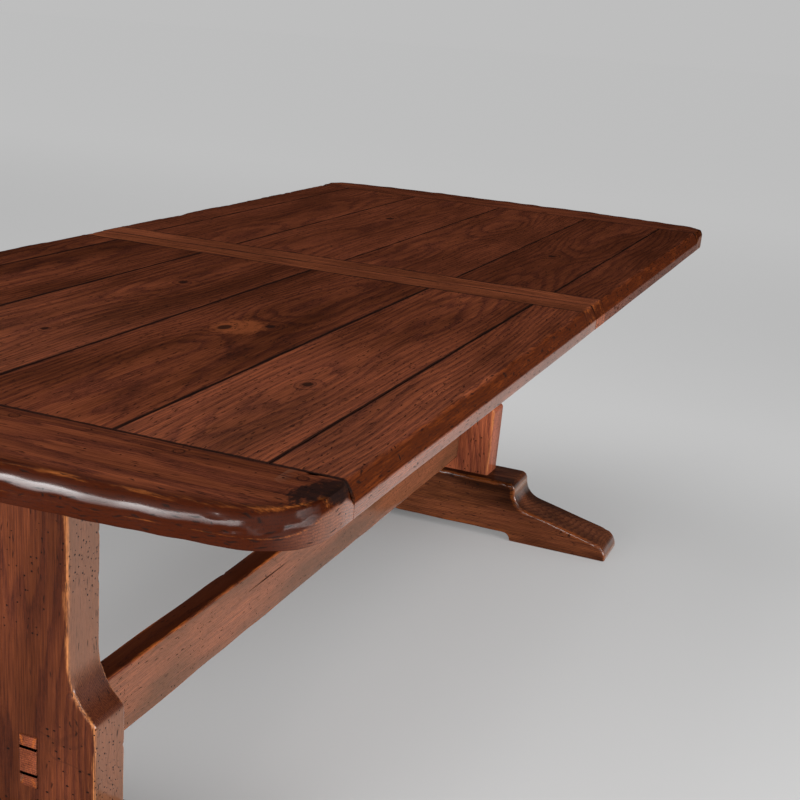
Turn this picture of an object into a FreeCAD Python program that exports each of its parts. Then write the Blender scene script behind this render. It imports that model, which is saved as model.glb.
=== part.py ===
import FreeCAD, Part
import math
import os

from FreeCAD import Vector

# A long tavern table: a plank top in two halves that draw apart over a fixed trestle base.
# Millimetres, +Z up. The origin is on the floor under the middle of the table.
# +X runs along the table from its near end to its far end, and +Y is the left side seen from there.

# Whole table
table_length = 2330.0
table_width = 964.0
table_height = 762.0
board_thickness = 40.0
end_bow_radius = 3400.0
corner_radius = 78.0
nosing_height = 25.0
nosing_inset = 8.0
lower_arris = 2.0
half_gap = 0.3

# Boards of the two halves, as shares of the table's width from its right edge to its left edge
end_cleat_width = 155.0
inner_cleat_width = 62.0
near_plank_shares = (0.0975, 0.1867, 0.2241, 0.2241, 0.1815, 0.0861)
far_plank_shares = (0.0954, 0.1831, 0.2220, 0.2293, 0.1872, 0.0830)
seam_groove_depth = 1.4
seam_groove_width = 2.4
tongue_length = 40.0
tongue_thickness = 13.0
groove_end_wall = 24.0
cleat_peg_radius = 5.0
cleat_peg_setback = 20.0

# Dowels that line the halves up
dowel_radius = 6.0
dowel_projection = 22.0
dowel_embedment = 20.0
dowel_tip_chamfer = 2.0
dowel_setback = 152.0

# Slide rails on the base and the runners under the halves
slide_travel = 250.0
rail_overhang = 54.0
rail_setback = 135.0
rail_thickness = 30.0
rail_height = 56.0
rail_groove_depth = 12.0
rail_arris = 3.0
runner_thickness = 32.0
runner_height = 44.0
runner_setback = 25.0
runner_inner_end = 75.0
runner_tongue_height = 12.0
runner_tongue_drop = 16.0
runner_nose_length = 30.0
runner_nose_rise = 18.0
runner_screw_count = 3
runner_screw_margin = 90.0
stop_block_length = 40.0
stop_block_width = 130.0
stop_block_height = 30.0
stop_screw_spacing = 80.0

# Trestle heads
head_setback = 102.0
head_end_length = 60.0
head_thickness = 78.0
head_height = 92.0
head_tip_height = 50.0
head_cove_radius = 24.0
head_tip_round = 12.0
head_arris = 2.0

# Posts
post_setback = 319.0
post_thickness = 72.0
post_width = 125.0
post_base_width = 206.0
flare_top = 390.0
flare_radius = 100.0
post_arris = 3.0
foot_tenon_width = 130.0
foot_tenon_thickness = 40.0
foot_tenon_depth = 85.0
head_tenon_width = 84.0
head_tenon_thickness = 34.0
head_tenon_depth = 54.0

# Feet
foot_length = 840.0
foot_thickness = 119.0
foot_height = 147.0
foot_block_width = 362.0
foot_block_round = 16.0
foot_cove_radius = 48.0
foot_slope_angle = 13.6
foot_toe_depth = 29.0
foot_arris = 4.0
relief_length = 363.0
relief_height = 18.0

# Pegs of the post joints, driven from the outer faces
post_peg_radius = 6.0
foot_peg_spacing = 70.0
foot_peg_drop = 42.0
head_peg_spacing = 42.0
head_peg_rise = 27.0
peg_wall = 18.0

# Stretcher and its wedged tenons
stretcher_bottom = 176.0
stretcher_height = 108.0
stretcher_thickness = 42.0
stretcher_arris = 3.0
stretcher_tenon_height = 76.0
stretcher_tenon_thickness = 26.0
tenon_stand_out = 2.0
wedge_length = 52.0
wedge_thick_end = 4.5
wedge_thin_end = 1.0
wedge_spacing = 40.0

# Table catches under the middle joint
catch_setback = 110.0
catch_reach = 30.0
keeper_reach = 30.0
catch_plate_length = 44.0
catch_plate_width = 52.0
plate_thickness = 2.5
pivot_radius = 4.5
pivot_head_radius = 8.0
pivot_head_thickness = 2.5
lever_thickness = 4.0
lever_hub_radius = 11.0
lever_bar_width = 16.0
lever_hook_radius = 16.0
lever_tab_length = 26.0
lever_tab_width = 12.0
keeper_pin_radius = 4.0
keeper_pin_stand = 2.5
keeper_pin_lead = 0.8
plate_screw_spacing = 36.0

# Screws
plate_screw_head_radius = 4.0
plate_screw_shank_radius = 2.0
plate_screw_length = 22.0
wood_screw_head_radius = 6.0
wood_screw_shank_radius = 2.75
runner_screw_length = 48.0
stop_screw_length = 38.0
rail_screw_length = 85.0
screw_sink = 14.0

# Clearances
slide_clearance = 0.3
tenon_clearance = 0.2
fit_clearance = 0.05
pivot_clearance = 0.05
lever_clearance = 0.2
hook_clearance = 1.2
dowel_clearance = 0.1
stop_clearance = 1.0
overrun = 20.0

# Derived places. Setbacks are measured inward from the top's edges, and the rails' from the heads' tips.
half_length = table_length / 2
half_width = table_width / 2
underside = table_height - board_thickness
end_seam = half_length - end_cleat_width
inner_seam = inner_cleat_width
slide_top = underside - slide_clearance
head_bottom = slide_top - head_height
head_length = table_width - 2 * head_setback
post_spacing = table_length - 2 * post_setback
post_x = post_spacing / 2
post_inner_face = post_x - post_thickness / 2
post_outer_face = post_x + post_thickness / 2
rail_length = post_spacing + 2 * rail_overhang
rail_inner_offset = head_length / 2 - rail_setback
rail_outer_offset = rail_inner_offset + rail_thickness
rail_bottom = slide_top - rail_height
runner_inner_offset = rail_outer_offset + slide_clearance
runner_outer_offset = runner_inner_offset + runner_thickness
runner_middle = (runner_inner_offset + runner_outer_offset) / 2
runner_outer_end = end_seam - runner_setback
tongue_top = underside - runner_tongue_drop
tongue_bottom = tongue_top - runner_tongue_height
dowel_spacing = half_width - dowel_setback
catch_offset = half_width - catch_setback
plate_bottom = underside - plate_thickness
lever_top = plate_bottom - lever_clearance
lever_bottom = lever_top - lever_thickness
lever_length = catch_reach + keeper_reach
catch_screw_x = -catch_reach - catch_plate_length / 2 + 2 * plate_screw_head_radius
plate_screw = (plate_screw_head_radius, plate_screw_shank_radius, plate_screw_length)
runner_screw = (wood_screw_head_radius, wood_screw_shank_radius, runner_screw_length)
stop_screw = (wood_screw_head_radius, wood_screw_shank_radius, stop_screw_length)
rail_screw = (wood_screw_head_radius, wood_screw_shank_radius, rail_screw_length)
stop_x = -post_x + head_thickness / 2 + slide_travel + stop_clearance
stretcher_middle = stretcher_bottom + stretcher_height / 2


def box(low_x, high_x, low_y, high_y, low_z, high_z):
    size = (high_x - low_x, high_y - low_y, high_z - low_z)
    return Part.makeBox(*size, Vector(low_x, low_y, low_z))


def upright(radius, bottom, top, x, y):
    return Part.makeCylinder(radius, top - bottom, Vector(x, y, bottom))


def mirrored_x(shape):
    return shape.mirror(Vector(0, 0, 0), Vector(1, 0, 0))


def mirrored_y(shape):
    return shape.mirror(Vector(0, 0, 0), Vector(0, 1, 0))


def save(name, pieces):
    solids = pieces if isinstance(pieces, list) else [pieces]
    shape = solids[0] if len(solids) == 1 else Part.makeCompound(solids)
    shape.exportStep("parts/" + name + ".step")
    volume = sum(solid.Volume for solid in solids)
    print(name, "solids", sum(len(solid.Solids) for solid in solids), "volume", round(volume))


# The arc that leaves one point along a direction and ends at another point.
def arc_from_tangent(start, direction, end):
    along = Vector(direction).normalize()
    chord = end - start
    across = (chord - along * chord.dot(along)).normalize()
    radius = chord.Length ** 2 / (2 * chord.dot(across))
    centre = start + across * radius
    outward = ((start + end) / 2 - centre).normalize()
    return Part.Arc(start, centre + outward * radius, end).toShape()


def line(start, end):
    return Part.makeLine(start, end)


# A flat outline in the YZ plane, given by its right half and closed by its mirror image, pushed along X.
def symmetric_slab(half_edges, low_x, thickness):
    edges = half_edges + [mirrored_y(edge) for edge in half_edges]
    wire = Part.Wire(Part.__sortEdges__(edges))
    slab = Part.Face(wire).extrude(Vector(thickness, 0, 0))
    slab.translate(Vector(low_x, 0, 0))
    return slab


# Cuts a flat bevel along every edge of a solid that a test picks.
def bevelled(solid, depth, wanted):
    edges = [edge for edge in solid.Edges if wanted(edge)]
    return solid.makeChamfer(depth, edges)


# The three points of the round corner between a long side and the bowed end of the near half.
def corner_points(side, height):
    bow_centre = Vector(-half_length + end_bow_radius, 0, height)
    reach = end_bow_radius - corner_radius
    rise = half_width - corner_radius
    centre = Vector(bow_centre.x - math.sqrt(reach ** 2 - rise ** 2), side * rise, height)
    outward = (centre - bow_centre).normalize()
    on_side = centre + Vector(0, side * corner_radius, 0)
    on_bow = centre + outward * corner_radius
    halfway = ((on_side + on_bow) / 2 - centre).normalize()
    return on_side, centre + halfway * corner_radius, on_bow


# Plan outline of the near half, from the right side round the bowed end to the left side.
def end_outline(height, start_x):
    right = corner_points(-1, height)
    left = corner_points(1, height)
    tip = Vector(-half_length, 0, height)
    return [
        line(Vector(start_x, -half_width, height), right[0]),
        Part.Arc(*right).toShape(),
        Part.Arc(right[2], tip, left[2]).toShape(),
        Part.Arc(*left).toShape(),
        line(left[0], Vector(start_x, half_width, height)),
    ]


# The near half as one board: bowed end, round corners and a worn round nosing on the upper edge.
def half_blank():
    joint_x = -half_gap / 2
    outline = end_outline(underside, joint_x)
    closing = line(Vector(joint_x, half_width, underside), Vector(joint_x, -half_width, underside))
    face = Part.Face(Part.Wire(Part.__sortEdges__(outline + [closing])))
    board = face.extrude(Vector(0, 0, board_thickness))
    path = Part.Wire(Part.__sortEdges__(end_outline(table_height, overrun)))
    arris_z = table_height - nosing_height
    lean = math.cos(math.radians(45))
    foot_point = Vector(overrun, -half_width, arris_z)
    bulge = Vector(overrun, -half_width + nosing_inset * (1 - lean), arris_z + nosing_height * lean)
    crest = Vector(overrun, -half_width + nosing_inset, table_height)
    above = crest + Vector(0, 0, overrun)
    outside_above = Vector(overrun, -half_width - overrun, above.z)
    outside_below = Vector(overrun, outside_above.y, arris_z)
    upper = Part.Arc(foot_point, bulge, crest).toShape()
    rest = Part.makePolygon([crest, above, outside_above, outside_below, foot_point])
    profile = Part.Wire([upper] + rest.Edges)
    cutter = path.makePipeShell([profile], True, False)
    board = board.cut(cutter)
    return bevelled(board, lower_arris, on_lower_outline)


def on_lower_outline(edge):
    on_bottom = abs(edge.BoundBox.ZMax - underside) < fit_clearance
    at_joint = edge.BoundBox.XMin > -half_gap
    return on_bottom and not at_joint


# A V-shaped groove in the upper face, along a seam between two points.
def seam_groove(start, end):
    along = (end - start).normalize()
    side = along.cross(Vector(0, 0, 1)) * (seam_groove_width / 2)
    lift = Vector(0, 0, seam_groove_depth)
    corners = [start - lift, start + side + lift, start - side + lift, start - lift]
    return Part.Face(Part.makePolygon(corners)).extrude(end - start)


def plank_edges(shares):
    places = [-half_width]
    for share in shares:
        places.append(places[-1] + share * table_width)
    places[-1] = half_width
    return places


def peg_places(shares):
    edges = plank_edges(shares)
    middles = [(low + high) / 2 for low, high in zip(edges, edges[1:])]
    return [(-end_seam - cleat_peg_setback, middle) for middle in middles]


# Tongue along an end of a plank, inside the cleat's groove by the tenon clearance.
def plank_tongue(seam_x, outward, low_y, high_y):
    low_z = underside + (board_thickness - tongue_thickness) / 2
    low = max(low_y, -half_width + groove_end_wall)
    high = min(high_y, half_width - groove_end_wall)
    tip_x = seam_x + outward * (tongue_length - tenon_clearance)
    ends = sorted((seam_x, tip_x))
    return box(ends[0], ends[1], low, high, low_z, low_z + tongue_thickness)


def cleat_groove(seam_x, outward):
    low_z = underside + (board_thickness - tongue_thickness) / 2
    ends = sorted((seam_x - outward * overrun, seam_x + outward * tongue_length))
    reach = half_width - groove_end_wall + tenon_clearance
    return box(ends[0], ends[1], -reach, reach, low_z, low_z + tongue_thickness)


def runner_screw_places(side):
    low = -runner_outer_end + runner_screw_margin
    high = -runner_inner_end - runner_screw_margin
    step = (high - low) / (runner_screw_count - 1)
    return [(low + step * index, side * runner_middle) for index in range(runner_screw_count)]


def stop_screw_places():
    x = stop_x + stop_block_length / 2
    return [(x, side * stop_screw_spacing / 2) for side in (-1, 1)]


def plate_screw_places(side, x):
    middle = side * catch_offset
    return [(x, middle + end * plate_screw_spacing / 2) for end in (-1, 1)]


# A countersunk screw that stands up from its flat head; grown by a clearance for its hole.
def screw(size, x, y, head_z, clearance=0.0):
    head_radius, shank_radius, length = size
    head_depth = head_radius - shank_radius
    cone = Part.makeCone(head_radius + clearance, shank_radius + clearance, head_depth, Vector(x, y, head_z))
    shank = upright(shank_radius + clearance, head_z, head_z + length + clearance, x, y)
    return cone.fuse(shank).removeSplitter()


def screws(size, places, head_z, clearance=0.0):
    return [screw(size, x, y, head_z, clearance) for x, y in places]


def rail_screw_places():
    middle = (rail_inner_offset + rail_outer_offset) / 2
    return [(end * post_x, side * middle) for end in (-1, 1) for side in (-1, 1)]


# A rail screw points down from the rail's upper face.
def rail_screws(clearance=0.0):
    turned = []
    for x, y in rail_screw_places():
        body = screw(rail_screw, x, y, slide_top, clearance)
        body.rotate(Vector(x, y, slide_top), Vector(1, 0, 0), 180)
        turned.append(body)
    return turned


# Planks, cleats, pegs and screw holes of one half, built at the near end.
def top_half(shares, plate_x):
    blank = half_blank()
    edges = plank_edges(shares)
    grooves = [seam_groove(Vector(-end_seam, y, table_height), Vector(-inner_seam, y, table_height))
               for y in edges[1:-1]]
    for seam_x in (-end_seam, -inner_seam, -half_gap / 2):
        start = Vector(seam_x, -half_width - overrun, table_height)
        grooves.append(seam_groove(start, Vector(seam_x, half_width + overrun, table_height)))
    blank = blank.cut(grooves)
    pegs = [upright(cleat_peg_radius, underside, table_height, x, y) for x, y in peg_places(shares)]
    peg_holes = [upright(cleat_peg_radius + fit_clearance, underside - overrun, table_height + overrun, x, y)
                 for x, y in peg_places(shares)]
    drilled = []
    for side in (-1, 1):
        head_z = underside - runner_height + screw_sink
        drilled += screws(runner_screw, runner_screw_places(side), head_z, fit_clearance)
        drilled += screws(plate_screw, plate_screw_places(side, plate_x), plate_bottom, fit_clearance)
    stop_head = underside - stop_block_height + screw_sink
    drilled += screws(stop_screw, stop_screw_places(), stop_head, fit_clearance)
    planks = []
    for low, high in zip(edges, edges[1:]):
        low_cut = low - (overrun if low == edges[0] else 0)
        high_cut = high + (overrun if high == edges[-1] else 0)
        strip = box(-end_seam, -inner_seam, low_cut, high_cut, underside, table_height)
        plank = blank.common(strip)
        plank = plank.fuse([plank_tongue(-end_seam, -1, low, high), plank_tongue(-inner_seam, 1, low, high)])
        planks.append(plank.cut(peg_holes + drilled).removeSplitter())
    outer = box(-half_length - overrun, -end_seam, -table_width, table_width, underside, table_height)
    end_cleat = blank.common(outer).cut([cleat_groove(-end_seam, -1)] + peg_holes)
    inner = box(-inner_seam, 0, -table_width, table_width, underside, table_height)
    inner_cleat = blank.common(inner).cut([cleat_groove(-inner_seam, 1)] + drilled)
    return {"planks": planks, "end_cleat": end_cleat, "inner_cleat": inner_cleat, "pegs": pegs}


def dowel_places():
    return [(index * dowel_spacing, underside + board_thickness / 2) for index in (-1, 0, 1)]


# A dowel lies along X across the joint, with a bevelled tip in the far half's socket.
def dowel(y, z, radius, low_x, high_x):
    return Part.makeCylinder(radius, high_x - low_x, Vector(low_x, y, z), Vector(1, 0, 0))


def dowels():
    made = []
    for y, z in dowel_places():
        body = dowel(y, z, dowel_radius, -dowel_embedment, dowel_projection)
        rims = [edge for edge in body.Edges if edge.BoundBox.XMin > dowel_projection - dowel_tip_chamfer]
        made.append(body.makeChamfer(dowel_tip_chamfer, rims))
    return made


# One wooden runner of the near half: a bar with a tongue that hooks into the rail's groove.
def runner(side):
    bar = box(-runner_outer_end, -runner_inner_end, runner_inner_offset, runner_outer_offset,
              underside - runner_height, underside)
    tip = runner_inner_offset - rail_groove_depth + 2 * slide_clearance
    tongue = box(-runner_outer_end, -runner_inner_end, tip, runner_inner_offset, tongue_bottom, tongue_top)
    bar = bar.fuse(tongue).removeSplitter()
    for end, inward in ((-runner_outer_end, 1), (-runner_inner_end, -1)):
        low = Vector(end, 0, underside - runner_height)
        corners = [low, low + Vector(inward * runner_nose_length, 0, 0), low + Vector(0, 0, runner_nose_rise), low]
        nose = Part.Face(Part.makePolygon(corners)).extrude(Vector(0, table_width, 0))
        bar = bar.cut(nose)
    if side < 0:
        bar = mirrored_y(bar)
    places = runner_screw_places(side)
    head_z = underside - runner_height + screw_sink
    holes = screws(runner_screw, places, head_z, fit_clearance)
    sinks = [upright(runner_screw[0] + fit_clearance, underside - runner_height - overrun, head_z, x, y)
             for x, y in places]
    return bar.cut(holes + sinks)


def stop_block():
    low_z = underside - stop_block_height
    block = box(stop_x, stop_x + stop_block_length, -stop_block_width / 2, stop_block_width / 2,
                low_z, underside)
    head_z = low_z + screw_sink
    holes = screws(stop_screw, stop_screw_places(), head_z, fit_clearance)
    sinks = [upright(stop_screw[0] + fit_clearance, low_z - overrun, head_z, x, y)
             for x, y in stop_screw_places()]
    return block.cut(holes + sinks)


# A fixed rail with the groove for the runners' tongues along its outer face.
def rail(side):
    bar = box(-rail_length / 2, rail_length / 2, rail_inner_offset, rail_outer_offset, rail_bottom, slide_top)
    bar = bevelled(bar, rail_arris, rail_lower_edge)
    groove = box(-rail_length, rail_length, rail_outer_offset - rail_groove_depth, table_width,
                 tongue_bottom - slide_clearance, tongue_top + slide_clearance)
    bar = bar.cut(groove)
    if side < 0:
        bar = mirrored_y(bar)
    return bar.cut(rail_screws(fit_clearance))


def rail_lower_edge(edge):
    return edge.BoundBox.ZMax < rail_bottom + rail_arris and edge.BoundBox.XLength > rail_thickness


# Trestle head: a bearer with coved, tapered ends, notched for the rails and the runners.
def trestle_head():
    tip_y = head_length / 2
    flat_y = tip_y - head_end_length
    tip_z = slide_top - head_tip_height
    top_middle = Vector(0, 0, slide_top)
    top_tip = Vector(0, tip_y, slide_top)
    low_tip = Vector(0, tip_y, tip_z + head_tip_round)
    under_tip = Vector(0, tip_y - head_tip_round, tip_z)
    cove_end = Vector(0, flat_y + head_cove_radius, tip_z - (head_height - head_tip_height - head_cove_radius))
    cove_start = Vector(0, flat_y, head_bottom)
    bottom_middle = Vector(0, 0, head_bottom)
    half_edges = [
        line(top_middle, top_tip),
        line(top_tip, low_tip),
        arc_from_tangent(low_tip, Vector(0, 0, -1), under_tip),
        line(under_tip, cove_end),
        arc_from_tangent(cove_start, Vector(0, 0, 1), cove_end),
        line(bottom_middle, cove_start),
    ]
    head = symmetric_slab(half_edges, -post_x - head_thickness / 2, head_thickness)
    head = bevelled(head, head_arris, on_head_arris)
    notches = []
    for side in (-1, 1):
        reach = sorted((side * rail_inner_offset, side * (runner_outer_offset + 2 * slide_clearance)))
        notches.append(box(-half_length, 0, reach[0], reach[1], rail_bottom, table_height))
    mortise = box(-post_x - head_tenon_thickness / 2 - tenon_clearance,
                  -post_x + head_tenon_thickness / 2 + tenon_clearance,
                  -head_tenon_width / 2 - tenon_clearance, head_tenon_width / 2 + tenon_clearance,
                  0, head_bottom + head_tenon_depth + tenon_clearance)
    return head.cut(notches + [mortise] + head_pegs(fit_clearance) + rail_screws(fit_clearance))


# The face outlines of a head below its upper face.
def on_head_arris(edge):
    bounds = edge.BoundBox
    return bounds.XLength < head_arris and bounds.ZMin < slide_top - head_arris


def pegs_along_x(places, thickness, clearance):
    outer_x = -post_x - thickness / 2
    length = thickness - peg_wall
    return [Part.makeCylinder(post_peg_radius + clearance, length + clearance, Vector(outer_x, y, z),
                              Vector(1, 0, 0)) for y, z in places]


def head_pegs(clearance=0.0):
    z = head_bottom + head_peg_rise
    places = [(side * head_peg_spacing / 2, z) for side in (-1, 1)]
    return pegs_along_x(places, head_thickness, clearance)


def foot_pegs(clearance=0.0):
    z = foot_height - foot_peg_drop
    places = [(side * foot_peg_spacing / 2, z) for side in (-1, 1)]
    return pegs_along_x(places, foot_thickness, clearance)


# Post: a straight shaft that flares through two coves to a broad base, with a tenon at each end.
def post():
    flare = (post_base_width - post_width) / 2
    flare_drop = math.sqrt(flare_radius ** 2 - (flare_radius - flare) ** 2)
    top_middle = Vector(0, 0, head_bottom)
    top_corner = Vector(0, post_width / 2, head_bottom)
    flare_start = Vector(0, post_width / 2, flare_top)
    flare_end = Vector(0, post_base_width / 2, flare_top - flare_drop)
    base_corner = Vector(0, post_base_width / 2, foot_height)
    base_middle = Vector(0, 0, foot_height)
    half_edges = [
        line(top_middle, top_corner),
        line(top_corner, flare_start),
        arc_from_tangent(flare_start, Vector(0, 0, -1), flare_end),
        line(flare_end, base_corner),
        line(base_corner, base_middle),
    ]
    shaft = symmetric_slab(half_edges, -post_outer_face, post_thickness)
    shaft = bevelled(shaft, post_arris, on_post_arris)
    foot_tenon = box(-post_x - foot_tenon_thickness / 2, -post_x + foot_tenon_thickness / 2,
                     -foot_tenon_width / 2, foot_tenon_width / 2, foot_height - foot_tenon_depth, foot_height)
    head_tenon = box(-post_x - head_tenon_thickness / 2, -post_x + head_tenon_thickness / 2,
                     -head_tenon_width / 2, head_tenon_width / 2, head_bottom, head_bottom + head_tenon_depth)
    shaft = shaft.fuse([foot_tenon, head_tenon]).removeSplitter()
    return shaft.cut([stretcher_mortise()] + head_pegs(fit_clearance) + foot_pegs(fit_clearance))


def on_post_arris(edge):
    bounds = edge.BoundBox
    return bounds.XLength < post_arris and bounds.ZLength > post_arris


def stretcher_mortise():
    half_y = stretcher_tenon_thickness / 2 + tenon_clearance
    half_z = stretcher_tenon_height / 2 + tenon_clearance
    return box(-half_length, 0, -half_y, half_y, stretcher_middle - half_z, stretcher_middle + half_z)


# Foot: a raised block that runs down through coves to long sloping toes, relieved underneath.
def foot():
    slope = math.radians(foot_slope_angle)
    block_y = foot_block_width / 2
    tip_y = foot_length / 2
    shoulder_z = foot_height - foot_block_round
    top_middle = Vector(0, 0, foot_height)
    top_corner = Vector(0, block_y - foot_block_round, foot_height)
    shoulder = Vector(0, block_y, shoulder_z)
    cove_y = block_y + foot_cove_radius * (1 - math.sin(slope))
    cove_end = Vector(0, cove_y, shoulder_z - foot_cove_radius * math.cos(slope))
    toe_y = tip_y - foot_toe_depth
    toe_top = Vector(0, toe_y, cove_end.z - (toe_y - cove_end.y) * math.tan(slope))
    toe_tip = Vector(0, tip_y, 0)
    relief_edge = Vector(0, relief_length / 2, 0)
    relief_corner = Vector(0, relief_length / 2 - relief_height, relief_height)
    relief_middle = Vector(0, 0, relief_height)
    half_edges = [
        line(top_middle, top_corner),
        arc_from_tangent(top_corner, Vector(0, 1, 0), shoulder),
        arc_from_tangent(shoulder, Vector(0, 0, -1), cove_end),
        line(cove_end, toe_top),
        arc_from_tangent(toe_top, toe_top - cove_end, toe_tip),
        line(toe_tip, relief_edge),
        arc_from_tangent(relief_edge, Vector(0, 0, 1), relief_corner),
        line(relief_corner, relief_middle),
    ]
    block = symmetric_slab(half_edges, -post_x - foot_thickness / 2, foot_thickness)
    block = bevelled(block, foot_arris, on_foot_arris)
    mortise = box(-post_x - foot_tenon_thickness / 2 - tenon_clearance,
                  -post_x + foot_tenon_thickness / 2 + tenon_clearance,
                  -foot_tenon_width / 2 - tenon_clearance, foot_tenon_width / 2 + tenon_clearance,
                  foot_height - foot_tenon_depth - tenon_clearance, table_height)
    return block.cut([mortise] + foot_pegs(fit_clearance))


# The face outlines of a foot above its sole.
def on_foot_arris(edge):
    bounds = edge.BoundBox
    return bounds.XLength < foot_arris and bounds.ZMax > relief_height + foot_arris


# The slots for the wedges, and the wedges themselves, taper inward from the tenon's end.
def tenon_wedges(clearance=0.0):
    outer_x = -post_outer_face - tenon_stand_out
    half_y = stretcher_tenon_thickness / 2
    made = []
    for side in (-1, 1):
        middle = stretcher_middle + side * wedge_spacing / 2
        thick = wedge_thick_end / 2 + clearance
        thin = wedge_thin_end / 2 + clearance
        inner_x = outer_x + wedge_length + clearance
        corners = [Vector(outer_x, -half_y, middle - thick), Vector(inner_x, -half_y, middle - thin),
                   Vector(inner_x, -half_y, middle + thin), Vector(outer_x, -half_y, middle + thick)]
        face = Part.Face(Part.makePolygon(corners + [corners[0]]))
        made.append(face.extrude(Vector(0, 2 * half_y, 0)))
    return made


def stretcher():
    half_y = stretcher_thickness / 2
    top = stretcher_bottom + stretcher_height
    bar = box(-post_inner_face, post_inner_face, -half_y, half_y, stretcher_bottom, top)
    bar = bevelled(bar, stretcher_arris, is_long_edge)
    tenon_half_y = stretcher_tenon_thickness / 2
    tenon_half_z = stretcher_tenon_height / 2
    reach = post_outer_face + tenon_stand_out
    core = box(-reach, reach, -tenon_half_y, tenon_half_y,
               stretcher_middle - tenon_half_z, stretcher_middle + tenon_half_z)
    bar = bar.fuse(core).removeSplitter()
    slots = tenon_wedges(fit_clearance)
    return bar.cut(slots + [mirrored_x(slot) for slot in slots])


def is_long_edge(edge):
    return edge.BoundBox.XLength > post_spacing / 2


# Catch plate with its riveted pivot, on the near half.
def catch_plate(side):
    middle = side * catch_offset
    plate = box(-catch_reach - catch_plate_length / 2, -catch_reach + catch_plate_length / 2,
                middle - catch_plate_width / 2, middle + catch_plate_width / 2, plate_bottom, underside)
    head_top = lever_bottom - lever_clearance
    stem = upright(pivot_radius, head_top, plate_bottom, -catch_reach, middle)
    head = upright(pivot_head_radius, head_top - pivot_head_thickness, head_top, -catch_reach, middle)
    plate = plate.fuse([stem, head]).removeSplitter()
    return plate.cut(screws(plate_screw, plate_screw_places(side, catch_screw_x), plate_bottom, fit_clearance))


# Keeper plate with a riveted plain pin, on the far half. The pin stands out below the lever and its end is tapered.
def keeper_plate(side):
    middle = side * catch_offset
    plate = box(keeper_reach - catch_plate_length / 2, keeper_reach + catch_plate_length / 2,
                middle - catch_plate_width / 2, middle + catch_plate_width / 2, plate_bottom, underside)
    pin_end = lever_bottom - keeper_pin_stand
    stem = upright(keeper_pin_radius, pin_end + keeper_pin_lead, plate_bottom, keeper_reach, middle)
    lead = Part.makeCone(keeper_pin_radius - keeper_pin_lead, keeper_pin_radius, keeper_pin_lead,
                         Vector(keeper_reach, middle, pin_end))
    plate = plate.fuse([stem, lead]).removeSplitter()
    return plate.cut(screws(plate_screw, plate_screw_places(side, -catch_screw_x), plate_bottom, fit_clearance))


# Catch lever, drawn closed along +X and then swung open to point at its own side of the table.
def catch_lever(side):
    depth = Vector(0, 0, lever_thickness)
    hub = upright(lever_hub_radius, 0, lever_thickness, 0, 0)
    bar = box(0, lever_length, -lever_bar_width / 2, lever_bar_width / 2, 0, lever_thickness)
    hook = upright(lever_hook_radius, 0, lever_thickness, lever_length, 0)
    tab = box(lever_length, lever_length + lever_tab_length, -lever_tab_width / 2, lever_tab_width / 2,
              0, lever_thickness)
    tab_end = upright(lever_tab_width / 2, 0, lever_thickness, lever_length + lever_tab_length, 0)
    body = hub.fuse([bar, hook, tab, tab_end]).removeSplitter()
    half_slot = keeper_pin_radius + hook_clearance
    outer = Part.makeCylinder(lever_length + half_slot, lever_thickness, Vector(0, 0, 0), Vector(0, 0, 1), 90)
    inner = Part.makeCylinder(lever_length - half_slot, lever_thickness, Vector(0, 0, 0), Vector(0, 0, 1), 90)
    slot = outer.cut(inner)
    slot.rotate(Vector(0, 0, 0), Vector(0, 0, 1), -90)
    slot = slot.common(box(0, 2 * lever_length, -lever_length, 0, 0, lever_thickness))
    seat = upright(half_slot, 0, lever_thickness, lever_length, 0)
    bore = upright(pivot_radius + pivot_clearance, 0, lever_thickness, 0, 0)
    body = body.cut([slot, seat, bore])
    body.rotate(Vector(0, 0, 0), Vector(0, 0, 1), 90)
    if side < 0:
        body = mirrored_y(body)
    body.translate(Vector(-catch_reach, side * catch_offset, lever_bottom))
    return body


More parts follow.
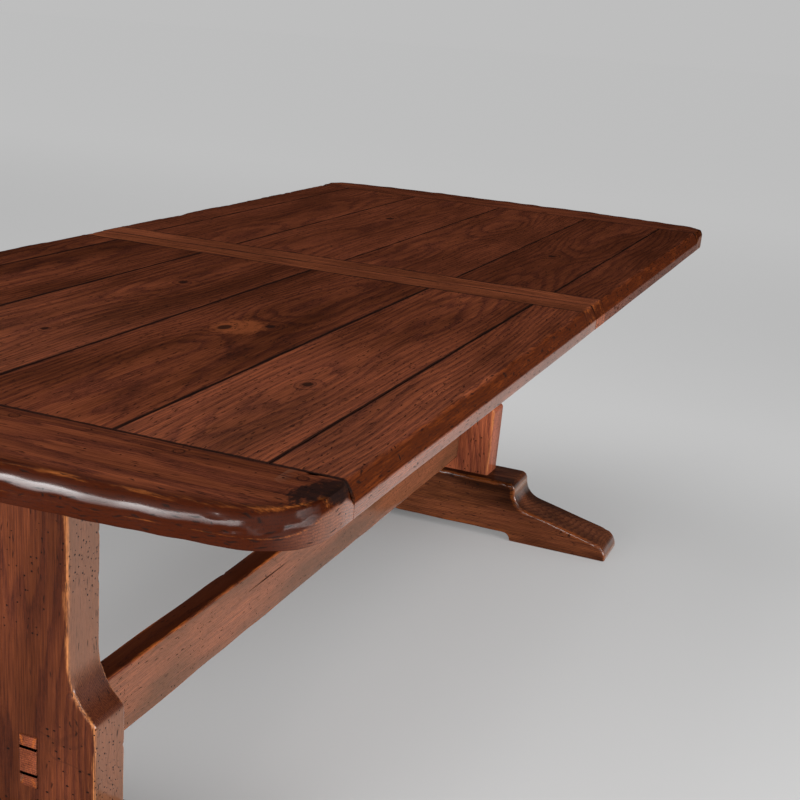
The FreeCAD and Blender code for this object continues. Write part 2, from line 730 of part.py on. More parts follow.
def main():
    os.makedirs("parts", exist_ok=True)
    for half_name, shares in (("near", near_plank_shares), ("far", far_plank_shares)):
        turn = mirrored_x if half_name == "far" else (lambda shape: shape)
        pieces = top_half(shares, catch_screw_x)
        for index, plank in enumerate(pieces["planks"]):
            save(half_name + "_plank_" + str(index + 1), turn(plank))
        save(half_name + "_end_cleat", turn(pieces["end_cleat"]))
        inner_cleat = turn(pieces["inner_cleat"])
        clearance = 0 if half_name == "near" else dowel_clearance
        depth = dowel_projection + (0 if half_name == "near" else stop_clearance)
        holes = [dowel(y, z, dowel_radius + clearance, -dowel_embedment, depth) for y, z in dowel_places()]
        save(half_name + "_inner_cleat", inner_cleat.cut(holes))
        save(half_name + "_cleat_pegs", [turn(peg) for peg in pieces["pegs"]])
        runner_head = underside - runner_height + screw_sink
        runner_fixings = []
        for side_name, side in (("left", 1), ("right", -1)):
            save(half_name + "_" + side_name + "_runner", turn(runner(side)))
            runner_fixings += screws(runner_screw, runner_screw_places(side), runner_head)
        save(half_name + "_runner_screws", [turn(fixing) for fixing in runner_fixings])
        save(half_name + "_stop_block", turn(stop_block()))
        stop_head = underside - stop_block_height + screw_sink
        save(half_name + "_stop_screws", [turn(fixing) for fixing in
                                          screws(stop_screw, stop_screw_places(), stop_head)])
        save(half_name + "_head", turn(trestle_head()))
        save(half_name + "_post", turn(post()))
        save(half_name + "_foot", turn(foot()))
        save(half_name + "_post_pegs", [turn(peg) for peg in head_pegs() + foot_pegs()])
        save(half_name + "_tenon_wedges", [turn(wedge) for wedge in tenon_wedges()])
    save("joint_dowels", dowels())
    save("stretcher", stretcher())
    save("rail_screws", rail_screws())
    catch_fixings = []
    keeper_fixings = []
    for side_name, side in (("left", 1), ("right", -1)):
        save(side_name + "_slide_rail", rail(side))
        save(side_name + "_catch_plate", catch_plate(side))
        save(side_name + "_catch_lever", catch_lever(side))
        save(side_name + "_keeper_plate", keeper_plate(side))
        catch_fixings += screws(plate_screw, plate_screw_places(side, catch_screw_x), plate_bottom)
        keeper_fixings += screws(plate_screw, plate_screw_places(side, -catch_screw_x), plate_bottom)
    save("catch_screws", catch_fixings)
    save("keeper_screws", keeper_fixings)


main()
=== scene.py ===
import bpy
import bmesh
import math
import numpy as np
from mathutils import Matrix, Vector


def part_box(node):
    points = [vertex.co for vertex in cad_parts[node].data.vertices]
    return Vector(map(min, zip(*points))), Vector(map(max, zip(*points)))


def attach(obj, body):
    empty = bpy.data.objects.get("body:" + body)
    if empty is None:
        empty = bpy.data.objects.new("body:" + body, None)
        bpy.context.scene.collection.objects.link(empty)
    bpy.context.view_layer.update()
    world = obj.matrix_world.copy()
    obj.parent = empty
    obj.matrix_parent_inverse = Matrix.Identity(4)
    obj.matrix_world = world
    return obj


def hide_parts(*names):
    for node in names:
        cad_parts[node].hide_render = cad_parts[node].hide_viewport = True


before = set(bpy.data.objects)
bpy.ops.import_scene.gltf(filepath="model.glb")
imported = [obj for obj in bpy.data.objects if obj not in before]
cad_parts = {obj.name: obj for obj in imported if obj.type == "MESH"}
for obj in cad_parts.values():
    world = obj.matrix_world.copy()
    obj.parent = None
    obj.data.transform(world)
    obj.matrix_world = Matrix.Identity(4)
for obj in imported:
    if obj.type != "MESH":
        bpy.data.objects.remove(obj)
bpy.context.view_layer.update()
print("table frame loaded,", len(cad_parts), "parts")

# Metres, +Z up, origin on the floor under the middle of the table; the near end is at -X, the photo's left is +Y.

topEdge = {
    "bowRadius": 3.4,          # plan curve of each end
    "cornerRadius": 0.078,
    "noseDrop": 0.021,         # how far the worn bevel runs down along the sides
    "endDrop": 0.025,          # and the fuller round along the bowed ends
    "noseInset": 0.009,        # how far in over the top where it is least worn
    "endInset": 0.016,
    "noseWear": 0.006,         # extra where hands and chairs have rubbed it
    "lowerArris": 0.0022,
    "seamRound": 0.0019,       # softened edge along every seam
    "bevelPower": 1.35,
    "endStart": 0.085,         # distance from the ends where their round begins to take over from the sides' bevel
    "endBlend": 0.045,
    "crispShare": 0.6,         # how much smaller the bevel is where the end boards meet the sides
    "crispRun": 0.02,
    "wearLengths": (0.16, 0.05, 0.07),     # lengths of the waves in the wear: long, short, and along seams
}
halfLength = -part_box("near_end_cleat")[0].x
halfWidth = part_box("near_end_cleat")[1].y
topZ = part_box("near_end_cleat")[1].z
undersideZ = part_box("near_end_cleat")[0].z
endSeam = -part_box("near_end_cleat")[1].x
innerSeam = -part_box("near_inner_cleat")[0].x
jointFace = -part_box("near_inner_cleat")[1].x


# A few sine waves of random heading and phase added up, about -1 to 1; stretch lengthens them along an axis.
def softWaves(points, seed, length, stretch=(1, 1, 1), count=14):
    rng = np.random.default_rng(seed)
    heading = rng.normal(size=(count, 3))
    heading /= np.linalg.norm(heading, axis=1, keepdims=True)
    waves = 2 * math.pi / length * heading * rng.uniform(0.6, 1.5, (count, 1)) / np.array(stretch)
    phase = rng.uniform(0, 2 * math.pi, count)
    return np.sin(points @ waves.T + phase).sum(-1) / math.sqrt(count) * 0.8


# The same waves, about 0 to 1.
def swell(points, seed, length, stretch=(1, 1, 1)):
    return 0.5 + 0.5 * softWaves(points, seed, length, stretch)


# How far a value is past a start, as a share of a run: (value - start) / run, kept within 0 to 1.
def shareOf(value, start, run):
    return np.clip((value - start) / run, 0, 1)


# Shallow round bites: each takes depth * (1 - (distance / radius)^2)^2 out of the surface near its centre.
def bites(points, centres, radii, depths):
    gap = np.linalg.norm(points[..., None, :] - centres, axis=-1) / radii
    return (np.clip(1 - gap ** 2, 0, 1) ** 2 * depths).sum(-1)


# Places along a length, close together at both ends and about one step apart between.
def gradedSteps(length, step):
    fine = np.array([0, 0.0002, 0.0006, 0.0012, 0.002, 0.003, 0.0045, 0.0065, 0.009, 0.013])
    count = max(2, round((length - 2 * fine[-1]) / step))
    middle = np.linspace(fine[-1], length - fine[-1], count + 1)
    return np.concatenate([fine[:-1], middle, length - fine[-2::-1]])


# Distance inward from the outline of the whole top: the least of the side's, the bowed end's and the corner's.
def edgeDistance(x, y):
    ax, ay = np.abs(x), np.abs(y)
    bow, corner = topEdge["bowRadius"], topEdge["cornerRadius"]
    bowX = halfLength - bow
    reach, rise = bow - corner, halfWidth - corner
    cornerX = bowX + math.sqrt(reach ** 2 - rise ** 2)
    dx, dy = ax - cornerX, ay - rise
    inCorner = (dx > 0) & (dx * rise < dy * (cornerX - bowX))
    straight = np.minimum(halfWidth - ay, bow - np.hypot(ax - bowX, ay))
    return np.where(inCorner, corner - np.hypot(dx, dy), straight)


# How much a place belongs to a bowed end: 0 along the sides, rising to 1 round the corners.
def endShare(x):
    return shareOf(np.abs(x), halfLength - topEdge["endStart"], topEdge["endBlend"])


# Height of the top at a point: flat, less the nosing at the outer edge and a small quarter round at seams, which
# fades toward the outer edge. The nosing is a quarter ellipse along the ends and a steepening bevel, t to a power,
# along the sides; the bevel is small and crisp where the end boards meet the sides.
def topHeight(x, y, seamGap, seed):
    place = np.stack([x, y, 0 * x], -1)
    long, short, alongSeam = topEdge["wearLengths"]
    rubbed = np.clip(swell(place, seed + 5, long) + 0.25 * softWaves(place, seed + 6, short), 0, 1.3)
    atEnd = endShare(x)
    onEndBoard = shareOf(np.abs(x), endSeam, topEdge["crispRun"])
    crisp = 1 - topEdge["crispShare"] * onEndBoard * (1 - atEnd)
    inset = topEdge["noseInset"] * (1 - atEnd) + topEdge["endInset"] * atEnd + topEdge["noseWear"] * rubbed
    t = np.clip(1 - edgeDistance(x, y) / (inset * crisp), 0, 1)
    bevel = topEdge["noseDrop"] * crisp * t ** topEdge["bevelPower"]
    quarter = topEdge["endDrop"] * (1 - np.sqrt(1 - t ** 2))
    nose = (1 - atEnd) * bevel + atEnd * quarter
    worn = topEdge["seamRound"] * (1 + 0.5 * softWaves(place, seed + 7, alongSeam))
    worn = worn * np.clip(0.35 + edgeDistance(x, y) / 0.03, 0, 1)
    s = np.clip(1 - seamGap / worn, 0, 1)
    return topZ - nose - worn * (1 - np.sqrt(1 - s ** 2))


# Distance travelled along a line of points, from 0 at the first.
def travelledAlong(path):
    return np.concatenate([[0], np.cumsum(np.linalg.norm(np.diff(path, axis=0), axis=1))])


# Points of a line at given distances along it, straight between its own points.
def walkAlong(path, distances):
    travelled = travelledAlong(path)
    return np.stack([np.interp(distances, travelled, path[:, axis]) for axis in (0, 1)], -1)


# Corners of a rectangle's outline, anticlockwise, and the line that its shrinking copies close on.
def rectangleLoop(x0, x1, y0, y1, step):
    alongX, alongY = gradedSteps(x1 - x0, step)[:-1], gradedSteps(y1 - y0, step)[:-1]
    loop = np.concatenate([
        np.stack([x0 + alongX, y0 + 0 * alongX], -1), np.stack([x1 + 0 * alongY, y0 + alongY], -1),
        np.stack([x1 - alongX, y1 + 0 * alongX], -1), np.stack([x0 + 0 * alongY, y1 - alongY], -1)])
    a, b = (x1 - x0) / 2, (y1 - y0) / 2
    m = min(a, b)
    centre = np.array([(x0 + x1) / 2, (y0 + y1) / 2])
    middle = centre + (loop - centre) * np.array([(a - m) / a, (b - m) / b])
    return loop, middle, np.full(len(loop), m)


# Outline of an end cleat: along the bowed outer edge and back along the seam, with a middle line between them.
def cleatLoop(sign, step):
    bow, corner = topEdge["bowRadius"], topEdge["cornerRadius"]
    bowX, rise = halfLength - bow, halfWidth - corner
    cornerX = bowX + math.sqrt((bow - corner) ** 2 - rise ** 2)
    lean = math.atan2(rise, cornerX - bowX)
    turn = np.linspace(-math.pi / 2, -lean, 60)
    sweep = np.linspace(-lean, lean, 400)
    right = np.stack([cornerX + corner * np.cos(turn), -rise + corner * np.sin(turn)], -1)
    left = right[::-1] * np.array([1, -1])
    end = np.stack([bowX + bow * np.cos(sweep), bow * np.sin(sweep)], -1)
    path = np.concatenate([[[endSeam, -halfWidth]], right, end[1:-1], left, [[endSeam, halfWidth]]])
    length = travelledAlong(path)[-1]
    steps = gradedSteps(length, step)
    outer = walkAlong(path, steps)
    share = steps / length
    seam = np.stack([endSeam + 0 * share, -halfWidth + 2 * halfWidth * share], -1)
    between = (outer + seam) / 2
    reach = halfWidth - 0.07
    between[:, 1] = np.clip(between[:, 1], -reach, reach)
    loop = np.concatenate([outer[:-1], seam[::-1][:-1]])
    middle = np.concatenate([between[:-1], between[::-1][:-1]])
    outward = loopNormals(loop)
    depth = np.clip(((loop - middle) * outward).sum(-1), 0.04, None)
    if sign < 0:
        loop, middle = loop * np.array([-1, 1]), middle * np.array([-1, 1])
    return loop, middle, depth


# Unit normals that point out of an anticlockwise loop: its direction of travel turned by a right angle.
def loopNormals(loop):
    travel = np.roll(loop, -1, axis=0) - np.roll(loop, 1, axis=0)
    outward = np.stack([travel[:, 1], -travel[:, 0]], -1)
    return outward / np.linalg.norm(outward, axis=1, keepdims=True)


# Normals of a grid: the cross product of its two directions of travel, at every point.
def gridNormals(grid):
    along = np.roll(grid, -1, axis=1) - np.roll(grid, 1, axis=1)
    down = np.gradient(grid, axis=0)
    cross = np.cross(along, down)
    size = np.linalg.norm(cross, axis=-1, keepdims=True)
    return cross / np.where(size < 1e-12, 1, size)


# Running length round each closed row, with one more place where it meets its start.
def runningLength(loop):
    return travelledAlong(np.concatenate([loop, loop[:1]]))


# Puts a mesh, a lamp's or the camera's data into the scene as an object.
def addObject(name, data):
    item = bpy.data.objects.new(name, data)
    bpy.context.scene.collection.objects.link(item)
    return item


# Merges a mesh's doubled points and turns its faces outward.
def closeMesh(mesh):
    work = bmesh.new()
    work.from_mesh(mesh)
    bmesh.ops.remove_doubles(work, verts=work.verts, dist=2e-6)
    bmesh.ops.recalc_face_normals(work, faces=work.faces)
    work.to_mesh(mesh)
    work.free()


# Four-sided faces between neighbouring points of a grid, joined round where it is closed, and their rows and columns.
def gridFaces(rows, columns, closed=True):
    k, i = np.meshgrid(np.arange(rows - 1), np.arange(columns if closed else columns - 1), indexing="ij")
    j = (i + 1) % columns
    corners = [k * columns + i, k * columns + j, (k + 1) * columns + j, (k + 1) * columns + i]
    return k, i, np.stack(corners, -1).reshape(-1, 4)


faceLeans = {
    "leanFrom": 0.12, "leanBlend": 0.3,          # upward share of the normal where a face begins to lean
    "sideGain": 1.3, "sideLess": 0.3,
    "topFrom": 0.8, "topBlend": 0.15, "flatFrom": 0.5, "flatBlend": 0.16,
    "leastWax": 0.04, "flatLosesWax": 0.93,
}


# Makes one mesh from closed grids of points (rows by columns) and flat end caps; marks are kept as attributes.
# Three marks come from the normal: the sideways mark = (1.3 |ny| - 0.3) squared on upright faces, where dust and a
# painted grey-pink sheen are mixed in, upward = (nz - 0.8) / 0.15, and the polish is kept where the face is sideways
# or leans upward, (nz - 0.12) / 0.3, and taken off flat tops.
def makePiece(name, shells, body, replaced, sharp=38):
    points, faces, uvs, start = [], [], [], 0
    marks = {"rubbed": [], "line": [], "grime": [], "polish": []}
    for shell in shells:
        grid = shell["grid"]
        rows, columns = grid.shape[:2]
        k, i, quads = gridFaces(rows, columns)
        faces += (quads + start).tolist()
        places = [shell["place"], shell.get("sidePlace", shell["place"])]   # rows by columns + 1 places on the face
        flat, side = [np.stack([p[k, i], p[k, i + 1], p[k + 1, i + 1], p[k + 1, i]], 2) for p in places]
        onSide = shell.get("sideRows", np.zeros(rows - 1, bool))[:, None, None, None]
        uvs.append(np.where(onSide, side, flat).reshape(-1, 2))
        if shell.get("capped"):
            for row in (0, rows - 1):
                ring = np.arange(columns)
                faces.append((ring + start + row * columns).tolist())
                uvs.append(shell["capPlace"](grid[row]))
        points.append(grid.reshape(-1, 3))
        for mark in marks:
            marks[mark].append((shell[mark] + np.zeros((rows, columns))).reshape(-1))
        start += rows * columns
    mesh = bpy.data.meshes.new(name)
    mesh.from_pydata(np.concatenate(points).tolist(), [], faces)
    mesh.uv_layers.new(name="facePlace").data.foreach_set("uv", np.concatenate(uvs).astype(np.float32).reshape(-1))
    for mark, values in marks.items():
        layer = mesh.attributes.new(mark, "FLOAT", "POINT")
        layer.data.foreach_set("value", np.concatenate(values).astype(np.float32))
    closeMesh(mesh)
    mesh.polygons.foreach_set("use_smooth", np.ones(len(mesh.polygons), bool))
    mesh.set_sharp_from_angle(angle=math.radians(sharp))
    mesh.update()
    normals = np.empty(3 * len(mesh.vertices), np.float32)
    mesh.vertex_normals.foreach_get("vector", normals)
    ny, nz, f = normals[1::3], normals[2::3], faceLeans
    leaning = shareOf(nz, f["leanFrom"], f["leanBlend"])
    sideways = np.clip(f["sideGain"] * np.abs(ny) - f["sideLess"], 0, 1) ** 2 * (1 - leaning)
    upward = shareOf(nz, f["topFrom"], f["topBlend"])
    flat = shareOf(nz, f["flatFrom"], f["flatBlend"])
    waxed = np.empty(len(mesh.vertices), np.float32)
    mesh.attributes["polish"].data.foreach_get("value", waxed)
    waxed *= np.maximum(f["leastWax"], np.maximum(sideways, leaning)) * (1 - f["flatLosesWax"] * flat)
    mesh.attributes["polish"].data.foreach_set("value", waxed)
    # the sideways mark: where dust and a painted grey-pink sheen go on upright faces
    mesh.attributes.new("dustAndSheen", "FLOAT", "POINT").data.foreach_set("value", sideways)
    mesh.attributes.new("upward", "FLOAT", "POINT").data.foreach_set("value", upward)
    piece = addObject(name, mesh)
    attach(piece, body)
    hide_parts(*replaced)
    return piece


boardMarks = {
    "brinkOver": 0.0035,                     # the rubbed band reaches this far past the nosing
    "line": 0.9, "lineLess": 0.26,           # strength of the worn line, and how much less it is at the ends
    "lineWide": 0.0017, "lineWider": 0.0030, "lineOutward": 0.0085,
    "bandLine": 0.60,                        # wear all over the rubbed band of the sides
    "rubFade": (0.75, 0.35),                 # where the rubbed band ends, as a share of its width
    "lowLine": 0.2, "lowGrime": 0.4,
    "grimeReach": 0.0036, "polishReach": 0.014, "sideWax": 0.03,
    "chipsReach": 0.055, "bitesReach": 0.03, "deepest": 0.003,
}


# A board of the top: rings that run from the middle line out to the outline, down the side and in underneath. The
# worn line is a bell curve of the distance from the nosing's brink, and the seams' dirt one of theirs.
def boardShell(loop, middle, depth, seamGap, seed, hand):
    marks = boardMarks
    nearRings = np.array([0, 0.0001, 0.0004, 0.0009, 0.0016, 0.0025, 0.0036, 0.005, 0.0066, 0.0085, 0.011, 0.014])
    inward = np.linspace(0, 1, max(3, round((depth.min() - 0.014) / hand["step"])) + 1)[1:]
    shares = [ring / depth for ring in nearRings]
    shares += [shares[-1] + (1 - shares[-1]) * t for t in inward]
    rings, values = [], []

    # one ring: the outline moved to the middle line by a share of the way, at its height, with its four marks
    def addRing(share, z, *ringMarks):
        rings.append(np.column_stack([loop + (middle - loop) * share[:, None], z + 0 * share]))
        values.append([mark + 0 * share for mark in ringMarks])

    for share in reversed(shares):
        x, y = (loop + (middle - loop) * share[:, None]).T
        edge, seam, atEnd = edgeDistance(x, y), seamGap(x, y), endShare(x)
        brink = topEdge["noseInset"] * (1 - atEnd) + topEdge["endInset"] * atEnd + marks["brinkOver"]
        rubbed = 1 - shareOf(edge / brink, *marks["rubFade"])
        away = (edge - brink + marks["lineOutward"] * atEnd) / (marks["lineWide"] + marks["lineWider"] * atEnd)
        line = np.exp(-away ** 2) * (marks["line"] - marks["lineLess"] * atEnd)
        line = np.clip(line + marks["bandLine"] * rubbed * (1 - atEnd), 0, 1)
        grime = np.exp(-(seam / marks["grimeReach"]) ** 2) * np.clip(0.4 + edge / 0.02, 0, 1)
        polish = np.clip(1.6 - edge / marks["polishReach"], 0, 1)
        polish *= marks["sideWax"] + (1 - marks["sideWax"]) * atEnd
        addRing(share, topHeight(x, y, seam, seed), rubbed, line, grime, polish)
    topRows, arris = len(rings), topEdge["lowerArris"]
    rimZ, low = rings[-1][:, 2], undersideZ + arris
    onSide, atEnd = (edgeDistance(*loop.T) < 0.001).astype(float), endShare(loop[:, 0])
    for t in np.linspace(0, 1, 7)[1:]:
        stripes = 0.7 * max(0, 1 - 9 * abs(t - 1 / 6)) + marks["lowLine"] * max(0, 5 * t - 4)
        addRing(0 * depth, rimZ + (low - rimZ) * t, onSide * np.maximum(atEnd, max(0, 1 - 6 * t)), onSide * stripes,
                1 - onSide, onSide)
    for turn in np.radians([30, 60, 90]):
        addRing(arris * (1 - math.cos(turn)) / depth, low - arris * math.sin(turn), onSide * atEnd,
                onSide * marks["lowLine"], marks["lowGrime"] * (1 - onSide), onSide)
    for t in (0.04, 0.3, 0.65, 1):
        inner = arris / depth
        addRing(inner + (1 - inner) * t, undersideZ, 0, 0, 0, 0)
    grid = np.array(rings)
    rubbed, line, grime, polish = np.moveaxis(np.array(values), 1, 0)
    # hand-planed waves everywhere but underneath, and dents along the worn edge
    sink = hand["wave"] * swell(grid, seed + 1, 0.09, (3, 1, 1))
    sink += hand["edgeWave"] * np.clip(rubbed, 0, 1) * swell(grid, seed + 2, 0.045)
    rng = np.random.default_rng(seed + 3)
    outerEdge = np.flatnonzero(onSide)
    count = hand["bites"] if len(outerEdge) else 0
    onNose = grid[rng.integers(topRows - 9, topRows, count), rng.choice(outerEdge, count) if count else []]
    radii, depths = rng.uniform(*hand["biteRadii"], count), rng.uniform(*hand["biteDepths"], count)
    chips = outerEdge[np.hypot(*(loop[outerEdge] - hand["chipsAt"]).T) < marks["chipsReach"]]
    if len(chips):
        chipped = grid[rng.integers(topRows - 8, topRows - 1, hand["chips"]), rng.choice(chips, hand["chips"])]
        onNose = np.concatenate([onNose, chipped])
        radii = np.concatenate([radii, rng.uniform(*hand["chipRadii"], hand["chips"])])
        depths = np.concatenate([depths, rng.uniform(*hand["chipDepths"], hand["chips"])])
    sink += bites(grid, onNose, radii, depths) * (edgeDistance(grid[..., 0], grid[..., 1]) < marks["bitesReach"])
    sink[topRows + 9:] = 0
    sink = np.clip(sink, 0, marks["deepest"])
    normals = gridNormals(grid)
    facing = np.sign(normals[2, :, 2].mean()) or 1
    normals[0] = (0, 0, facing)
    grid = grid - facing * normals * sink[..., None]
    grid[..., 2] = np.clip(grid[..., 2], undersideZ, topZ - 0.0001)
    closed = np.concatenate([grid, grid[:, :1]], 1)
    place = closed[..., 1::-1] if hand.get("grainAcross") else closed[..., :2]
    side = np.stack(np.broadcast_arrays(runningLength(loop)[None, :] + 3.0, closed[..., 2]), -1)
    faceRow = np.arange(len(grid) - 1)
    return {"grid": grid, "place": place, "sidePlace": side, "rubbed": rubbed, "line": line, "grime": grime,
            "sideRows": (faceRow >= topRows - 6) & (faceRow < topRows + 8), "polish": polish}


barMarks = {
    "roundShare": 0.25, "roundLength": 0.11,      # how much the corners' rounding varies, and over what length
    "cornerReach": 0.012, "rubStart": 0.0115, "rubBlend": 0.004, "edgeReach": 0.02,
    "biteRadii": (0.004, 0.012), "biteDepths": (0.0004, 0.0016), "capShare": 0.06,
}


# A squared bar along one axis: an arc and a flat turned by quarters make a rounded rectangle, whose half width may
# change on the way. Its rounding varies by sine waves, and waves and round bites are taken off along the normal.
def barShell(stations, halfThick, halfWide, cornerRound, seed, hand, axes, centre):
    marks = barMarks
    flats = np.linspace(-1, 1, hand["columns"])
    turn = np.radians(np.linspace(0, 90, 5))[1:-1]
    arc = np.stack([1 + 0 * turn, 1 + 0 * turn, np.cos(turn), np.sin(turn)], -1)
    flat = np.stack([flats[::-1], 1 + 0 * flats, 0 * flats, 1 + 0 * flats], -1)
    quarters = [np.concatenate([arc, flat])]
    for _ in range(3):
        a, b, awayA, awayB = quarters[-1].T
        quarters.append(np.stack([-b, a, -awayB, awayA], -1))
    section = np.concatenate(quarters)
    spine = np.stack([stations, 0 * stations, 0 * stations], -1)
    radius = cornerRound * (1 + marks["roundShare"] * softWaves(spine, seed, marks["roundLength"]))[:, None]
    wide = (halfWide + 0 * stations)[:, None]
    a = section[:, 0] * (halfThick - radius) + section[:, 2] * radius
    b = section[:, 1] * (wide - radius) + section[:, 3] * radius
    along = stations[:, None] + 0 * a
    grid = np.zeros(a.shape + (3,))
    grid[..., axes[0]], grid[..., axes[1]], grid[..., axes[2]] = a + centre[0], b + centre[1], along
    edge = np.minimum(np.abs(np.abs(a) - halfThick), np.abs(np.abs(b) - wide))
    fromCorner = [np.clip(np.abs(side) - half + marks["cornerReach"], 0, None)
                  for side, half in ((a, halfThick), (b, wide))]
    rubbed = shareOf(np.hypot(*fromCorner), marks["rubStart"], marks["rubBlend"]) * (edge < marks["edgeReach"])
    sink = hand["wave"] * swell(grid, seed + 1, 0.07, hand["stretch"])
    sink += hand["edgeWave"] * rubbed * swell(grid, seed + 2, 0.05, hand["stretch"])
    rng = np.random.default_rng(seed + 3)
    corners = np.flatnonzero(np.abs(section[:, 2] * section[:, 3]) > 0.3)
    spots = grid[rng.integers(0, len(stations), hand["bites"]), rng.choice(corners, hand["bites"])]
    radii, depths = [rng.uniform(*marks[kind], hand["bites"]) for kind in ("biteRadii", "biteDepths")]
    sink += bites(grid, spots, radii, depths)
    normals = gridNormals(grid)
    middle = grid.mean(axis=1, keepdims=True)
    facing = np.sign(((grid - middle) * normals).sum(-1).mean()) or 1
    normals[..., axes[2]] = 0
    grid = grid - facing * normals * sink[..., None]
    closed = np.concatenate([grid, grid[:, :1]], 1)
    length = runningLength(np.stack([a[len(a) // 2], b[len(b) // 2]], -1))
    place = np.stack(np.broadcast_arrays(closed[..., axes[2]], length[None, :]), -1).copy()
    first, last = grid[:1], grid[-1:]
    centres = [np.broadcast_to(ring.mean(axis=1, keepdims=True), ring.shape) for ring in (first, last)]
    inner = [ring + (mid - ring) * marks["capShare"] for ring, mid in zip((first, last), centres)]
    grid = np.concatenate([centres[0], inner[0], grid, inner[1], centres[1]])
    ends = [0, 0, *range(len(stations)), -1, -1]
    return {"grid": grid, "place": place[ends], "rubbed": 0.0, "line": rubbed[ends], "grime": 0.0, "polish": 1.0}


# Points on the arc that leaves one point along a heading and ends at another.
def arcPoints(start, heading, end, count=14):
    start, heading, end = np.array(start), np.array(heading, float), np.array(end)
    heading = heading / np.linalg.norm(heading)
    chord = end - start
    across = chord - heading * (chord @ heading)
    across = across / np.linalg.norm(across)
    radius = (chord @ chord) / (2 * (chord @ across))
    centre = start + across * radius
    begin, finish = [math.atan2(*(p - centre)[::-1]) for p in (start, end)]
    angles = begin + ((finish - begin + math.pi) % (2 * math.pi) - math.pi) * np.linspace(0, 1, count)
    return centre + radius * np.stack([np.cos(angles), np.sin(angles)], -1)


# A closed line walked in equal steps, with its sharpest corners eased by averaging each point with its neighbours.
def evenLoop(path, step):
    closed = np.concatenate([path, path[:1]])
    length = travelledAlong(closed)[-1]
    loop = walkAlong(closed, np.linspace(0, length, round(length / step), endpoint=False))
    return (np.roll(loop, 1, axis=0) + 2 * loop + np.roll(loop, -1, axis=0)) / 4


farAway = (9, 9)
board = {
    "step": 0.0065, "wave": 0.0004, "edgeWave": 0.0005,      # spacing of points, hand-planed waves, waves of the edge
    "bites": 7, "biteRadii": (0.004, 0.013), "biteDepths": (0.0002, 0.0009),
    "chips": 0, "chipsAt": farAway, "chipRadii": (0.003, 0.0065), "chipDepths": (0.0007, 0.0016),
}
leftBoard = {**board, "bites": 2, "edgeWave": 0.0002}        # the left edge stayed smoother
endBoard = {**board, "bites": 36, "edgeWave": 0.0008, "chips": 16, "chipsAt": (-1.13, -0.445), "grainAcross": True}
jointBoard = {**board, "bites": 0, "grainAcross": True}


# Distance from the nearest seam of a board: its two ends, and the long sides that meet a neighbour.
def plankSeams(x0, x1, y0, y1):
    def gap(x, y):
        gaps = [x - x0, x1 - x]
        if y0 > -halfWidth + 0.001:
            gaps.append(y - y0)
        if y1 < halfWidth - 0.001:
            gaps.append(y1 - y)
        return np.min(gaps, axis=0)
    return gap


# Distance from an end board's one seam.
def endBoardSeam(x, y):
    return np.abs(x) - endSeam


# Distance from the nearer seam of a joint board: the planks' ends or the middle joint.
def jointBoardSeams(x, y):
    return np.minimum(np.abs(x) - jointFace, innerSeam - np.abs(x))


socket = {"radius": 0.0063, "depth": 0.0235, "sides": 28}


# Cuts the dowels' blind sockets into a board: round plugs, closed at both ends, are taken away from it.
def cutSockets(piece):
    s = socket
    turn = np.linspace(0, 2 * math.pi, s["sides"], endpoint=False)
    reach = [jointFace - 0.005, jointFace - 0.005, jointFace + s["depth"], jointFace + s["depth"]]
    wide = [0.0005, s["radius"], s["radius"], 0.0005]
    points, faces = [], []
    for _, y, z in pinMiddles("joint_dowels"):
        start = len(points) * s["sides"]
        for x, r in zip(reach, wide):
            points.append(np.stack([x + 0 * turn, y + r * np.cos(turn), z + r * np.sin(turn)], -1))
        faces += (gridFaces(len(reach), s["sides"])[2] + start).tolist()
        faces += [(start + row * s["sides"] + np.arange(s["sides"])).tolist() for row in (0, len(reach) - 1)]
    mesh = bpy.data.meshes.new("socket_plugs")
    mesh.from_pydata(np.concatenate(points).tolist(), [], faces)
    closeMesh(mesh)
    plugs = addObject("socket_plugs", mesh)
    cut = piece.modifiers.new("sockets", "BOOLEAN")
    cut.operation, cut.solver, cut.object = "DIFFERENCE", "EXACT", plugs
    drilled = bpy.data.meshes.new_from_object(piece.evaluated_get(bpy.context.evaluated_depsgraph_get()))
    piece.modifiers.clear()
    piece.data = drilled
    bpy.data.objects.remove(plugs)
    bpy.data.meshes.remove(mesh)


# Middles of the separate pins in a node: its points sorted along Y and split where they are further apart than a gap.
def pinMiddles(node, apart=0.02):
    mesh = bpy.data.objects[node].data
    points = np.empty(3 * len(mesh.vertices), np.float32)
    mesh.vertices.foreach_get("co", points)
    points = points.reshape(-1, 3)
    points = points[np.argsort(points[:, 1])]
    pins = np.split(points, np.flatnonzero(np.diff(points[:, 1]) > apart) + 1)
    return [((pin.min(axis=0) + pin.max(axis=0)) / 2).tolist() for pin in pins]


# All sixteen boards of the top, each in place of its node.
def makeTop():
    made = {}
    for half, sign, body in (("near", -1, "near_top"), ("far", 1, "far_top")):
        ends = sorted((sign * endSeam, sign * innerSeam))
        for index in range(1, 7):
            node = f"{half}_plank_{index}"
            low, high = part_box(node)
            loop, middle, depth = rectangleLoop(*ends, low.y, high.y, board["step"])
            seed = 100 * index + (7 if sign > 0 else 0)
            hand = leftBoard if index == 6 else board
            shell = boardShell(loop, middle, depth, plankSeams(*ends, low.y, high.y), seed, hand)
            made[node] = makePiece(node.replace("plank", "board"), [shell], body, [node])
        loop, middle, depth = cleatLoop(sign, board["step"])
        cleat = f"{half}_end_cleat"
        shell = boardShell(loop, middle, depth, endBoardSeam, 41 + sign, endBoard)
        made[cleat] = makePiece(half + "_end_board", [shell], body, [cleat])
        ends = sorted((sign * jointFace, sign * innerSeam))
        loop, middle, depth = rectangleLoop(*ends, -halfWidth, halfWidth, board["step"])
        cleat = f"{half}_inner_cleat"
        shell = boardShell(loop, middle, depth, jointBoardSeams, 61 + sign, jointBoard)
        made[cleat] = makePiece(half + "_joint_board", [shell], body, [cleat])
    cutSockets(made["far_inner_cleat"])
    return made


